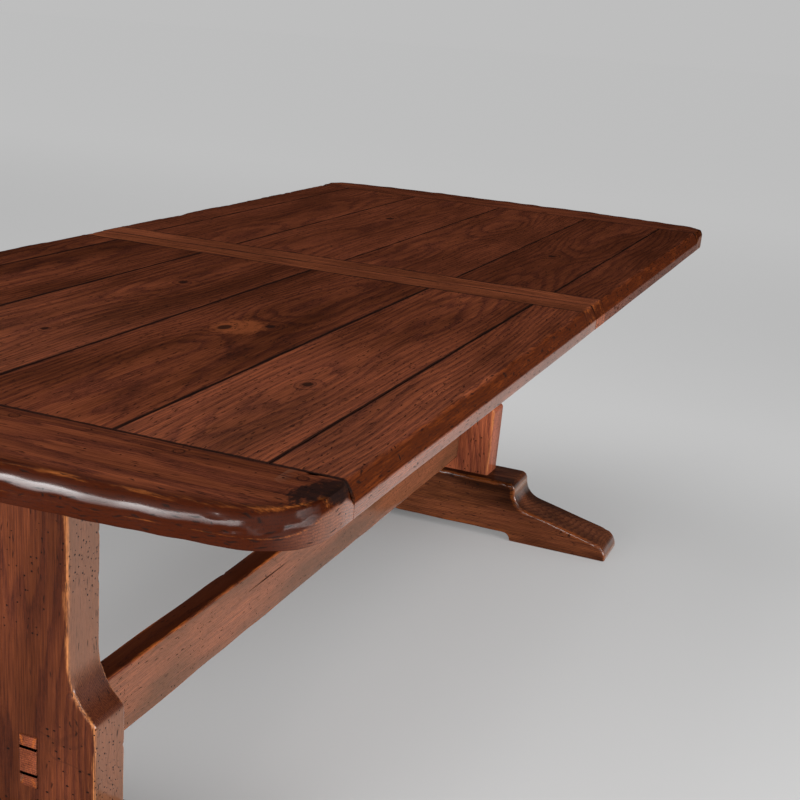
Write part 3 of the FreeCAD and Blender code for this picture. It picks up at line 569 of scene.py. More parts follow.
postShape = {"halfWide": 0.0625, "baseHalfWide": 0.103, "flareTop": 0.390, "flareRadius": 0.100,
             "cornerRound": 0.0042, "rows": 110, "seeds": {"near": 211, "far": 223}}
postHand = {"columns": 16, "wave": 0.0006, "edgeWave": 0.0008, "bites": 26, "stretch": (2, 2, 5)}


# Half width of a post at a height: straight above the flare, a hollow quarter curve down to the broad base.
def postHalfWidth(z):
    s = postShape
    drop = np.clip(s["flareTop"] - z, 0, s["flareRadius"])
    hollow = s["halfWide"] + s["flareRadius"] - np.sqrt(s["flareRadius"] ** 2 - drop ** 2)
    return np.minimum(hollow, s["baseHalfWide"])


# A post: a squared bar up from the foot to the head, as wide at each height as postHalfWidth says.
def makePost(half):
    s = postShape
    low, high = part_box(half + "_post")
    bottom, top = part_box(half + "_foot")[1].z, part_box(half + "_head")[0].z
    stations = np.linspace(bottom, top, s["rows"])
    middle = ((low.x + high.x) / 2, (low.y + high.y) / 2)
    shell = barShell(stations, (high.x - low.x) / 2, postHalfWidth(stations), s["cornerRound"], s["seeds"][half],
                     postHand, (0, 1, 2), middle)
    return makePiece(half + "_upright", [shell], "base", [half + "_post"])


footShape = {
    "length": 0.840, "height": 0.147, "blockWidth": 0.362, "blockRound": 0.016, "coveRadius": 0.048,
    "slope": 13.6, "toeDepth": 0.029, "relief": 0.363, "reliefHeight": 0.018,       # slope in degrees
    "step": 0.004, "acrossRows": 18, "seeds": {"near": 311, "far": 331},
}
footHand = {
    "arris": 0.0058, "arrisTurns": (0, 22, 45, 68, 90), "faceRun": 0.0025,
    "arrisVaries": 0.5, "arrisLength": 0.12, "mostWorn": 1.7, "soleWorn": 0.4,      # shares of the arris
    "wornExtra": 0.8, "wornFrom": 0.035, "wornBlend": 0.03, "soleTop": 0.004,       # more wear above the sole
    "rubMiddle": 0.002, "rubReach": 0.006, "wave": 0.0007, "waveLength": 0.08,
    "bites": 40, "biteRadii": (0.005, 0.014), "biteDepths": (0.0004, 0.0018), "keepFlat": 0.003, "flatBlend": 0.01,
}


# Outline of a foot seen from the table's end: block, round shoulders, coves, sloping toes, shallow relief below.
def footOutline():
    s = footShape
    slope = math.radians(s["slope"])
    blockY, tipY, shoulder = s["blockWidth"] / 2, s["length"] / 2, s["height"] - s["blockRound"]
    coveEnd = (blockY + s["coveRadius"] * (1 - math.sin(slope)), shoulder - s["coveRadius"] * math.cos(slope))
    toeY = tipY - s["toeDepth"]
    toeTop = (toeY, coveEnd[1] - (toeY - coveEnd[0]) * math.tan(slope))
    relief, rise = s["relief"] / 2, s["reliefHeight"]
    toe = arcPoints(toeTop, (toeTop[0] - coveEnd[0], toeTop[1] - coveEnd[1]), (tipY, 0))
    cove = arcPoints((blockY, shoulder), (0, -1), coveEnd)
    crown = arcPoints((blockY - s["blockRound"], s["height"]), (1, 0), (blockY, shoulder))
    notch = arcPoints((relief, 0), (0, 1), (relief - rise, rise))
    half = np.concatenate([[[0, rise]], notch[::-1], toe[::-1], cove[::-1], crown[::-1], [[0, s["height"]]]])
    mirrored = half[1:-1][::-1] * np.array([-1, 1])
    return evenLoop(np.concatenate([half, mirrored]), s["step"])


# A foot: its outline carried across from face to face, drawn in by a quarter round at both, which is worn more above
# the sole and less at it; waves and round bites are taken off along the outline's normals.
def makeFoot(half):
    h = footHand
    low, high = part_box(half + "_foot")
    loop = footOutline()
    outward = loopNormals(loop)
    seed = footShape["seeds"][half]
    arris, across = h["arris"], high.x - low.x
    turn = np.radians(h["arrisTurns"])
    faceRows = np.concatenate([[arris + h["faceRun"]], arris * (1 - np.sin(turn))])
    faceX = np.concatenate([[0], arris * (1 - np.cos(turn))])
    centre = np.linspace(arris, across - arris, footShape["acrossRows"])[1:-1]
    inset = np.concatenate([faceRows, 0 * centre, faceRows[::-1]])
    x = low.x + np.concatenate([faceX, centre, across - faceX[::-1]])
    near = np.stack([0 * loop[:, 0], loop[:, 0], loop[:, 1]], -1)
    worn = 1 + h["arrisVaries"] * softWaves(near, seed, h["arrisLength"])
    worn = worn + h["wornExtra"] * shareOf(loop[:, 1], h["wornFrom"], h["wornBlend"])
    worn = np.clip(np.where(loop[:, 1] > h["soleTop"], worn, h["soleWorn"]), 0, h["mostWorn"])
    flat = loop[None] - outward[None] * (inset[:, None] * worn[None, :])[..., None]
    grid = np.concatenate([x[:, None, None] + 0 * flat[..., :1], flat], -1)
    normals = np.concatenate([0 * flat[..., :1], np.broadcast_to(outward[None], flat.shape)], -1)
    fromFace = np.minimum(x - low.x, high.x - x)[:, None] + 0 * flat[..., 0]
    rubbed = np.exp(-((fromFace - h["rubMiddle"]) / h["rubReach"]) ** 2)
    rubbed[[0, -1]] = 0
    rng = np.random.default_rng(seed + 3)
    spots = grid[rng.choice([3, len(x) - 4], h["bites"]), rng.integers(0, len(loop), h["bites"])]
    sink = h["wave"] * swell(grid, seed + 1, h["waveLength"])
    sink += bites(grid, spots, rng.uniform(*h["biteRadii"], h["bites"]), rng.uniform(*h["biteDepths"], h["bites"]))
    sink *= shareOf(grid[..., 2], h["keepFlat"], h["flatBlend"])
    grid = grid - normals * sink[..., None]
    grid[..., 2] = np.clip(grid[..., 2], 0, None)
    closed = np.concatenate([grid, grid[:, :1]], 1)
    place = np.stack(np.broadcast_arrays(runningLength(loop)[None, :], closed[..., 0]), -1)
    shell = {"grid": grid, "place": place, "rubbed": 0.0, "line": rubbed, "grime": 0.0, "polish": 1.0, "capped": True,
             "capPlace": lambda ring: ring[:, 1:]}
    return makePiece(half + "_trestle_foot", [shell], "base", [half + "_foot"], sharp=50)


stretcherShape = {"cornerRound": 0.0048, "rows": 300, "seed": 401,
                  "tenonThick": 0.026, "tenonTall": 0.076, "tenonRound": 0.001, "tenonRows": 40, "tenonSeed": 405}
stretcherHand = {"columns": 12, "wave": 0.0002, "edgeWave": 0.0005, "bites": 12, "stretch": (5, 2, 2)}
tenonHand = {**stretcherHand, "wave": 0, "edgeWave": 0, "bites": 4}


# The stretcher: a squared bar between the posts, and a thinner one through both of them for its tenons.
def makeStretcher():
    s = stretcherShape
    low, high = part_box("stretcher")
    shoulder = -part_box("near_post")[1].x
    middle = ((low.y + high.y) / 2, (low.z + high.z) / 2)
    bar = barShell(np.linspace(-shoulder, shoulder, s["rows"]), (high.y - low.y) / 2, (high.z - low.z) / 2,
                   s["cornerRound"], s["seed"], stretcherHand, (1, 2, 0), middle)
    tenon = barShell(np.linspace(low.x, high.x, s["tenonRows"]), s["tenonThick"] / 2, s["tenonTall"] / 2,
                     s["tenonRound"], s["tenonSeed"], tenonHand, (1, 2, 0), middle)
    return makePiece("long_stretcher", [bar, tenon], "base", ["stretcher"])


topPieces = makeTop()
print("top boards made,", len(topPieces))
basePieces = {"stretcher": makeStretcher()}
for half in ("near", "far"):
    basePieces[half + "_post"] = makePost(half)
    basePieces[half + "_foot"] = makeFoot(half)
print("trestles and stretcher made")


# Adds a node to a tree; a socket given as a value is linked, any other value is set.
def put(tree, kind, settings=None, sockets=None):
    node = tree.nodes.new(kind)
    for key, value in (settings or {}).items():
        setattr(node, key, value)
    for key, value in (sockets or {}).items():
        if isinstance(value, bpy.types.NodeSocket):
            tree.links.new(value, node.inputs[key])
        else:
            node.inputs[key].default_value = value
    return node


# One sum on plain values: a and b (and c) joined by the named operation.
def maths(tree, operation, a, b=0.0, c=0.0, clamp=False):
    return put(tree, "ShaderNodeMath", {"operation": operation, "use_clamp": clamp}, {0: a, 1: b, 2: c}).outputs[0]


# a times b.
def times(tree, a, b, clamp=False):
    return maths(tree, "MULTIPLY", a, b, clamp=clamp)


# a plus b.
def plus(tree, a, b):
    return maths(tree, "ADD", a, b)


# a less b.
def minus(tree, a, b):
    return maths(tree, "SUBTRACT", a, b)


# a times b, plus c.
def timesPlus(tree, a, b, c):
    return maths(tree, "MULTIPLY_ADD", a, b, c)


# One sum on vectors: a and b joined by the named operation.
def turned(tree, operation, a, b):
    return put(tree, "ShaderNodeVectorMath", {"operation": operation}, {0: a, 1: b}).outputs[0]


# An eased step: start below low, end above high, and 3t^2 - 2t^3 of the way between.
def ramp(tree, value, low, high, start=0.0, end=1.0):
    return put(tree, "ShaderNodeMapRange", {"interpolation_type": "SMOOTHSTEP"},
               {"Value": value, "From Min": low, "From Max": high, "To Min": start, "To Max": end}).outputs["Result"]


# Cloudy noise: octaves added up, each twice as fine and weaker by the roughness.
def cloud(tree, vector, scale, detail=2.0, rough=0.5, colour=False):
    sockets = {"Vector": vector, "Scale": scale, "Detail": detail, "Roughness": rough}
    return put(tree, "ShaderNodeTexNoise", None, sockets).outputs["Color" if colour else 0]


grainNoise = {                               # scales along and across the grain, detail, roughness
    "slow": ((1.5, 4.5, 4.5), 1.0, 0.5),
    "ragged": ((5, 60, 60), 2.0, 0.5),
    "fibres": ((11, 520, 520), 4.0, 0.72),
    "dashes": ((95, 1500, 1500), 2.0, 0.6),
    "figure": ((2.2, 11, 11), 4.0, 0.65),
    "mottle": ((16, 85, 85), 4.0, 0.7),
    "smudge": ((13, 40, 40), 4.0, 0.68),
    "waxing": ((7, 9, 9), 2.0, 0.5),
    "rim": ((45, 90, 90), 3.0, 0.65),
    "ironStreak": ((90, 900, 900), 2.0, 0.5),
}


# Cloudy noise drawn out along the grain: the place times the scales of its kind, then its octaves.
def drawnOut(tree, place, kind, colour=False):
    scales, detail, rough = grainNoise[kind]
    return cloud(tree, turned(tree, "MULTIPLY", place, scales), 1.0, detail, rough, colour)


# Round cells in a plane: the distance to the nearest cell's middle, and three random values of that cell.
def cells(tree, vector, scale=1.0):
    sockets = {"Vector": vector, "Scale": scale}
    cell = put(tree, "ShaderNodeTexVoronoi", {"voronoi_dimensions": "2D"}, sockets).outputs
    return cell["Distance"], put(tree, "ShaderNodeSeparateColor", None, {0: cell["Color"]}).outputs


# Two colours joined: a * (1 - share) + b * share, or their product for MULTIPLY.
def blendColour(tree, share, a, b, kind="MIX"):
    return put(tree, "ShaderNodeMix", {"data_type": "RGBA", "blend_type": kind}, {0: share, 6: a, 7: b}).outputs[2]


# The greatest of several masks, kept within 0 to 1.
def greatest(tree, *masks):
    top = masks[0]
    for mask in masks[1:]:
        top = maths(tree, "MAXIMUM", top, mask, clamp=True)
    return top


# An empty node group with named inputs (name, kind, value) and outputs; the output named Colour is a colour.
def startGroup(name, inputs, outputs):
    group = bpy.data.node_groups.new(name, "ShaderNodeTree")
    for label, kind, value in inputs:
        socket = group.interface.new_socket(name=label, in_out="INPUT", socket_type="NodeSocket" + kind)
        if value is not None:
            socket.default_value = value
    for label in outputs:
        kind = "NodeSocketColor" if label == "Colour" else "NodeSocketFloat"
        group.interface.new_socket(name=label, in_out="OUTPUT", socket_type=kind)
    return group, group.nodes.new("NodeGroupInput").outputs, group.nodes.new("NodeGroupOutput").inputs


# Growth rings: distance from a wandering heart line divided by the ring spacing, its fraction eased into a saw;
# fibres and pores are noise drawn out along the grain, and figure is a slow noise of the same kind.
def timberGrainGroup():
    tree, given, result = startGroup("timberGrain", [
        ("Place", "Vector", None), ("Seed", "Float", 0.0), ("Ring Spacing", "Float", 0.006),
        ("Heart Depth", "Float", 0.12), ("Wander", "Float", 0.03), ("Swirl", "Float", 0.0)],
        ["Rings", "Fibres", "Pores", "Figure", "Mottle"])
    shift = put(tree, "ShaderNodeCombineXYZ", None, {
        0: times(tree, given["Seed"], 0.731), 1: times(tree, given["Seed"], 1.173),
        2: times(tree, given["Seed"], 0.377)}).outputs[0]
    place = turned(tree, "ADD", given["Place"], shift)
    slow = put(tree, "ShaderNodeSeparateColor", None, {0: drawnOut(tree, place, "slow", True)}).outputs
    parts = put(tree, "ShaderNodeSeparateXYZ", None, {0: given["Place"]}).outputs
    reach = times(tree, given["Wander"], 3.0)
    y = timesPlus(tree, minus(tree, slow[0], 0.5), reach, parts[1])
    z = timesPlus(tree, minus(tree, slow[1], 0.5), reach, parts[2])
    z = plus(tree, z, given["Heart Depth"])
    radius = maths(tree, "SQRT", plus(tree, times(tree, y, y), times(tree, z, z)))
    radius = plus(tree, radius, given["Swirl"])
    turn = maths(tree, "DIVIDE", radius, given["Ring Spacing"])
    turn = maths(tree, "FRACT", timesPlus(tree, drawnOut(tree, place, "ragged"), 1.3, turn))
    rings = times(tree, ramp(tree, turn, 0.0, 0.6), ramp(tree, turn, 0.86, 1.0, 1.0, 0.0))
    early = timesPlus(tree, rings, -0.12, 0.07)          # more pores in the early part of a ring
    pores = ramp(tree, plus(tree, drawnOut(tree, place, "dashes"), early), 0.56, 0.70)
    tree.links.new(rings, result["Rings"])
    tree.links.new(ramp(tree, drawnOut(tree, place, "fibres"), 0.34, 0.66), result["Fibres"])
    tree.links.new(pores, result["Pores"])
    tree.links.new(drawnOut(tree, place, "figure"), result["Figure"])
    tree.links.new(drawnOut(tree, place, "mottle"), result["Mottle"])
    return tree


# Colour of the wood: Mid to Light by the rings, to Dark by the fibres, times tone and figure, then toward a tan tone
# by
# the sideways mark: dust, and a painted grey-pink sheen.
def timberToneGroup():
    tree, given, result = startGroup("timberTone", [
        ("Dark", "Color", None), ("Mid", "Color", None), ("Light", "Color", None), ("Dust And Sheen Tone", "Color", None),
        ("Rings", "Float", 0.0), ("Fibres", "Float", 0.0), ("Figure", "Float", 0.5), ("Burl", "Float", 0.0),
        ("Dust And Sheen", "Float", 0.0), ("Tone", "Float", 1.0), ("Figure Share", "Float", 1.0)], ["Colour"])
    colour = blendColour(tree, given["Rings"], given["Mid"], given["Light"])
    colour = blendColour(tree, given["Fibres"], colour, given["Dark"])
    figure = ramp(tree, given["Figure"], 0.3, 0.72, -0.36, 0.40)
    shade = timesPlus(tree, figure, given["Figure Share"], 1.0)
    shade = times(tree, shade, given["Tone"])
    shade = put(tree, "ShaderNodeCombineColor", None, {0: shade, 1: shade, 2: shade}).outputs[0]
    colour = blendColour(tree, 1.0, colour, shade, "MULTIPLY")
    colour = blendColour(tree, given["Dust And Sheen"], colour, given["Dust And Sheen Tone"])
    tree.links.new(blendColour(tree, given["Burl"], colour, given["Light"]), result["Colour"])
    return tree


wearLimits = {"mottle": 2.2, "fibres": -0.40, "bareFrom": 0.32, "bareAll": 1.15}


# Worn edges: the rubbed band is stained dark and lighter between its fibres, and pale wood shows where the worn
# line and a mottle less the fibres pass a limit. The same dark band colour also paints shade on faces that look up.
def edgeWearGroup():
    tree, given, result = startGroup("edgeWear", [
        ("Timber", "Color", None), ("Band", "Color", None), ("Worn", "Color", None), ("Stain And Shade", "Float", 0.0),
        ("Line", "Float", 0.0), ("Mottle", "Float", 0.5), ("Fibres", "Float", 0.5), ("Streaks", "Float", 0.1),
        ("Rub", "Float", 0.7)], ["Colour"])
    between = times(tree, minus(tree, 1.0, given["Fibres"]), given["Streaks"])
    band = blendColour(tree, between, given["Band"], given["Worn"])
    colour = blendColour(tree, given["Stain And Shade"], given["Timber"], band)
    limits = wearLimits
    wear = minus(tree, given["Mottle"], 0.5)
    wear = timesPlus(tree, wear, limits["mottle"], given["Line"])
    wear = timesPlus(tree, given["Fibres"], limits["fibres"], wear)
    wear = times(tree, ramp(tree, wear, limits["bareFrom"], limits["bareAll"]), given["Line"])
    wear = times(tree, wear, given["Rub"], clamp=True)
    tree.links.new(blendColour(tree, wear, colour, given["Worn"]), result["Colour"])
    return tree


grimeShares = {"dents": 0.8, "knot": 0.85, "burnt": 0.88,
               "seam": 0.92, "seamRagged": 1.1, "seamFrom": 0.25, "seamAll": 0.8}


# Old dirt: the greatest of pores, dents, holes, cuts, knots and a ragged seam line darkens the wood; burns char it.
def oldGrimeGroup():
    shares = grimeShares
    amounts = [(label, "Float", 0.0) for label in ("Pores", "Dents", "Holes", "Cuts", "Knot", "Seam", "Burnt")]
    tree, given, result = startGroup("oldGrime", [
        ("Timber", "Color", None), ("Grime Tone", "Color", None), ("Char Tone", "Color", None), *amounts,
        ("Mottle", "Float", 0.5)], ["Colour", "Dark"])
    seam = minus(tree, given["Mottle"], 0.5)
    seam = timesPlus(tree, seam, shares["seamRagged"], given["Seam"])
    seam = times(tree, ramp(tree, seam, shares["seamFrom"], shares["seamAll"]), shares["seam"])
    dents, knot, burnt = [
        times(tree, given[label], shares[label.lower()]) for label in ("Dents", "Knot", "Burnt")]
    dark = greatest(tree, given["Pores"], dents, given["Holes"], given["Cuts"], knot, seam)
    colour = blendColour(tree, dark, given["Timber"], given["Grime Tone"])
    colour = blendColour(tree, burnt, colour, given["Char Tone"])
    tree.links.new(colour, result["Colour"])
    tree.links.new(dark, result["Dark"])
    return tree


reliefDepths = {"Mottle": 0.35, "Rings": 0.10, "Pores": -0.30,
                "Holes": -1.6, "Dents": -0.9, "Cuts": -0.8, "Knot": -0.7}


# Relief of the wood: mottle and ring ridges less pores, holes, dents, cuts and knots, each by its own depth.
def timberReliefGroup():
    tree, given, result = startGroup("timberRelief", [(label, "Float", 0.0) for label in reliefDepths], ["Height"])
    height = 0.0
    for label, depth in reliefDepths.items():
        height = timesPlus(tree, given[label], depth, height)
    tree.links.new(height, result["Height"])
    return tree


waxing = {"dirtDulls": -0.5, "thinFrom": 0.42, "thinAll": 0.60, "rough": 0.42, "dirtRoughens": 0.25, "mottled": 0.25}


# Wax: coat is the polish times (its weight less half the dirt), gone on burns and thinner in slow patches where it
# is patchy; roughness rises with dirt and mottle.
def waxGroup():
    tree, given, result = startGroup("oldWax", [
        ("Polish", "Float", 1.0), ("Weight", "Float", 0.9), ("Dark", "Float", 0.0), ("Burnt", "Float", 0.0),
        ("Mottle", "Float", 0.5), ("Slow", "Float", 0.5), ("Patchy", "Float", 0.0)], ["Coat", "Rough"])
    w = waxing
    coat = timesPlus(tree, given["Dark"], w["dirtDulls"], given["Weight"])
    coat = times(tree, given["Polish"], coat)
    coat = times(tree, coat, minus(tree, 1.0, given["Burnt"]), clamp=True)
    thin = ramp(tree, given["Slow"], w["thinFrom"], w["thinAll"], 1.0, 0.0)
    thin = times(tree, thin, given["Patchy"])
    coat = times(tree, coat, minus(tree, 1.0, thin))
    rough = timesPlus(tree, given["Dark"], w["dirtRoughens"], w["rough"])
    rough = timesPlus(tree, minus(tree, given["Mottle"], 0.5), w["mottled"], rough)
    tree.links.new(coat, result["Coat"])
    tree.links.new(rough, result["Rough"])
    return tree


handMarks = {
    "bendScale": 45.0, "bend": 0.010,                                    # how ragged the dents' rims are
    "holeCells": 105.0, "holeSize": 0.075, "holeVaries": 0.07, "clusterScale": 7.0, "clusters": (0.42, 0.66),
    "strokes": [                                                         # heading, scales and share of the dents
        (0.12, (46.0, 300.0, 1), 1.0), (2.3, (60.0, 280.0, 1), 0.2), (1.0, (60.0, 320.0, 1), 0.15)],
    "strokeRim": (0.10, 0.34),
    "cutScale": 9.0, "cutWide": (0.001, 0.006), "gateScale": 5.0, "gateShift": (3.1, 7.7, 0), "gate": (0.58, 0.66),
}


# Worm holes: round spots in cells of noise that fall in clusters; dents: short strokes in stretched cells, most along
# the grain; cuts: the thin lines where a noise crosses its middle, where a second noise lets them.
def handMarksGroup():
    tree, given, result = startGroup("handMarks", [
        ("Face Place", "Vector", None), ("Seed", "Float", 0.0), ("Holes", "Float", 0.4), ("Dents", "Float", 0.4),
        ("Cuts", "Float", 0.3)], ["Holes", "Dents", "Cuts"])
    place = turned(tree, "ADD", given["Face Place"], put(tree, "ShaderNodeCombineXYZ", None, {
        0: given["Seed"], 1: times(tree, given["Seed"], 1.7), 2: 0.0}).outputs[0])
    h = handMarks
    bend = turned(tree, "SUBTRACT", cloud(tree, place, h["bendScale"], 2.0, 0.6, True), (0.5, 0.5, 0.5))
    ragged = turned(tree, "ADD", place, turned(tree, "MULTIPLY", bend, (h["bend"], h["bend"], 0)))
    distance, pick = cells(tree, place, h["holeCells"])
    cluster = ramp(tree, cloud(tree, place, h["clusterScale"], 1.0), *h["clusters"])
    there = maths(tree, "LESS_THAN", pick[0], times(tree, given["Holes"], cluster))
    size = timesPlus(tree, pick[1], h["holeVaries"], h["holeSize"])
    spot = ramp(tree, maths(tree, "DIVIDE", distance, size), 0.7, 1.3, 1.0, 0.0)
    strokes = []
    for angle, scales, often in h["strokes"]:
        spun = put(tree, "ShaderNodeMapping", None, {"Vector": ragged, "Rotation": (0, 0, angle), "Scale": scales})
        distance, pick = cells(tree, spun.outputs[0])
        stroke = maths(tree, "LESS_THAN", pick[0], times(tree, given["Dents"], often))
        strokes.append(times(tree, stroke, ramp(tree, distance, *h["strokeRim"], 1.0, 0.0)))
    line = maths(tree, "ABSOLUTE", minus(tree, cloud(tree, place, h["cutScale"], 1.0), 0.5))
    gate = cloud(tree, turned(tree, "ADD", place, h["gateShift"]), h["gateScale"], 1.0)
    cut = times(tree, ramp(tree, gate, *h["gate"]), given["Cuts"])
    cut = times(tree, ramp(tree, line, *h["cutWide"], 1.0, 0.0), cut)
    tree.links.new(times(tree, there, spot), result["Holes"])
    tree.links.new(greatest(tree, *strokes), result["Dents"])
    tree.links.new(cut, result["Cuts"])
    return tree


# A patch round one place: distance over radii, made ragged by noise, eased to 0 at its rim; Swirl bends the rings.
def patchGroup():
    tree, given, result = startGroup("raggedPatch", [
        ("Place", "Vector", None), ("Centre", "Vector", None), ("Radii", "Vector", (0.02, 0.02, 0.02)),
        ("Ragged", "Float", 0.6), ("Bend", "Float", 0.007)], ["Mask", "Swirl"])
    gap = turned(tree, "DIVIDE", turned(tree, "SUBTRACT", given["Place"], given["Centre"]), given["Radii"])
    size = put(tree, "ShaderNodeVectorMath", {"operation": "LENGTH"}, {0: gap}).outputs["Value"]
    rim = minus(tree, drawnOut(tree, given["Place"], "rim"), 0.5)
    rim = timesPlus(tree, rim, given["Ragged"], size)
    tree.links.new(ramp(tree, rim, 0.6, 1.0, 1.0, 0.0), result["Mask"])
    tree.links.new(times(tree, ramp(tree, size, 0.0, 3.0, 1.0, 0.0), given["Bend"]), result["Swirl"])
    return tree


groups = {"grain": timberGrainGroup(), "tone": timberToneGroup(), "wear": edgeWearGroup(), "grime": oldGrimeGroup(),
          "relief": timberReliefGroup(), "wax": waxGroup(), "marks": handMarksGroup(), "patch": patchGroup()}

wood = {
    "dark": (0.031, 0.0086, 0.0066, 1),
    "mid": (0.102, 0.0265, 0.0130, 1),
    "light": (0.205, 0.056, 0.0200, 1),
    "worn": (0.25, 0.062, 0.012, 1),       # bare wood on rubbed edges
    "band": (0.036, 0.0078, 0.0028, 1),    # dark stain left in the rounded edge
    "grimeTone": (0.0085, 0.0050, 0.0043, 1),
    "char": (0.009, 0.0056, 0.0052, 1),
    # tan tone of dust and of a painted grey-pink sheen, mixed onto sideways faces
    "dustAndSheenTone": (0.235, 0.135, 0.090, 1),
    "grain": "X", "centre": (0, 0, 0), "seed": 0.0,
    "spacing": 0.003, "heart": 0.2, "wander": 0.013,
    "tone": 1.0, "rings": 0.42, "fibre": 0.68, "figure": 1.1, "pores": 0.6,
    "holes": 0.4, "dents": 0.10, "cuts": 0.25,
    "rub": 0.95, "streaks": 0.0, "stain": 0.3, "paintedTopShade": 0.0, "dustAndSheen": 0.16,
    "coat": 0.9, "gloss": 0.16, "sheen": 0.0, "patchy": 0.0,
    "paintedSheen": 0.0, "paintedSheenRun": (-0.95, -0.30),        # a painted pale sheen on faces that look up at the near end, and where along the table it ends
    "fade": 0.0, "fadeRun": (-0.90, -0.20),        # a darkening toward the joint
    "seam": 1.0, "smudge": 0.0, "smudges": (0.64, 0.74),     # dirt along the seams, and in dark smudges
    "holesOnTop": 0.25, "burlShare": 0.6,
    "knots": [], "burls": [], "burns": [],
    "bump": 0.7, "bumpDepth": 0.0012, "ior": 1.45,
}
grainTurn = {"X": (0, 0, 0), "Y": (0, 0, -math.pi / 2), "Z": (0, math.pi / 2, 0)}


# Where the grain's own origin goes once the axes are turned so that X runs along the grain.
def grainOrigin(look):
    x, y, z = look["centre"]
    return {"X": (-x, -y, -z), "Y": (-y, x, -z), "Z": (-z, -y, x)}[look["grain"]]


# Places a node group in a material and gives its outputs.
def useGroup(tree, name, sockets):
    return put(tree, "ShaderNodeGroup", {"node_tree": groups[name]}, sockets).outputs


# A new material with an empty tree, and the place on the piece that its patterns read.
def startFinish(name):
    finish = bpy.data.materials.new(name)
    finish.use_nodes = True
    finish.node_tree.nodes.clear()
    return finish, finish.node_tree, put(finish.node_tree, "ShaderNodeTexCoord").outputs["Object"]


# Ends a material with its Principled shader.
def endFinish(tree, sockets):
    shader = put(tree, "ShaderNodeBsdfPrincipled", None, sockets)
    put(tree, "ShaderNodeOutputMaterial", None, {"Surface": shader.outputs[0]})


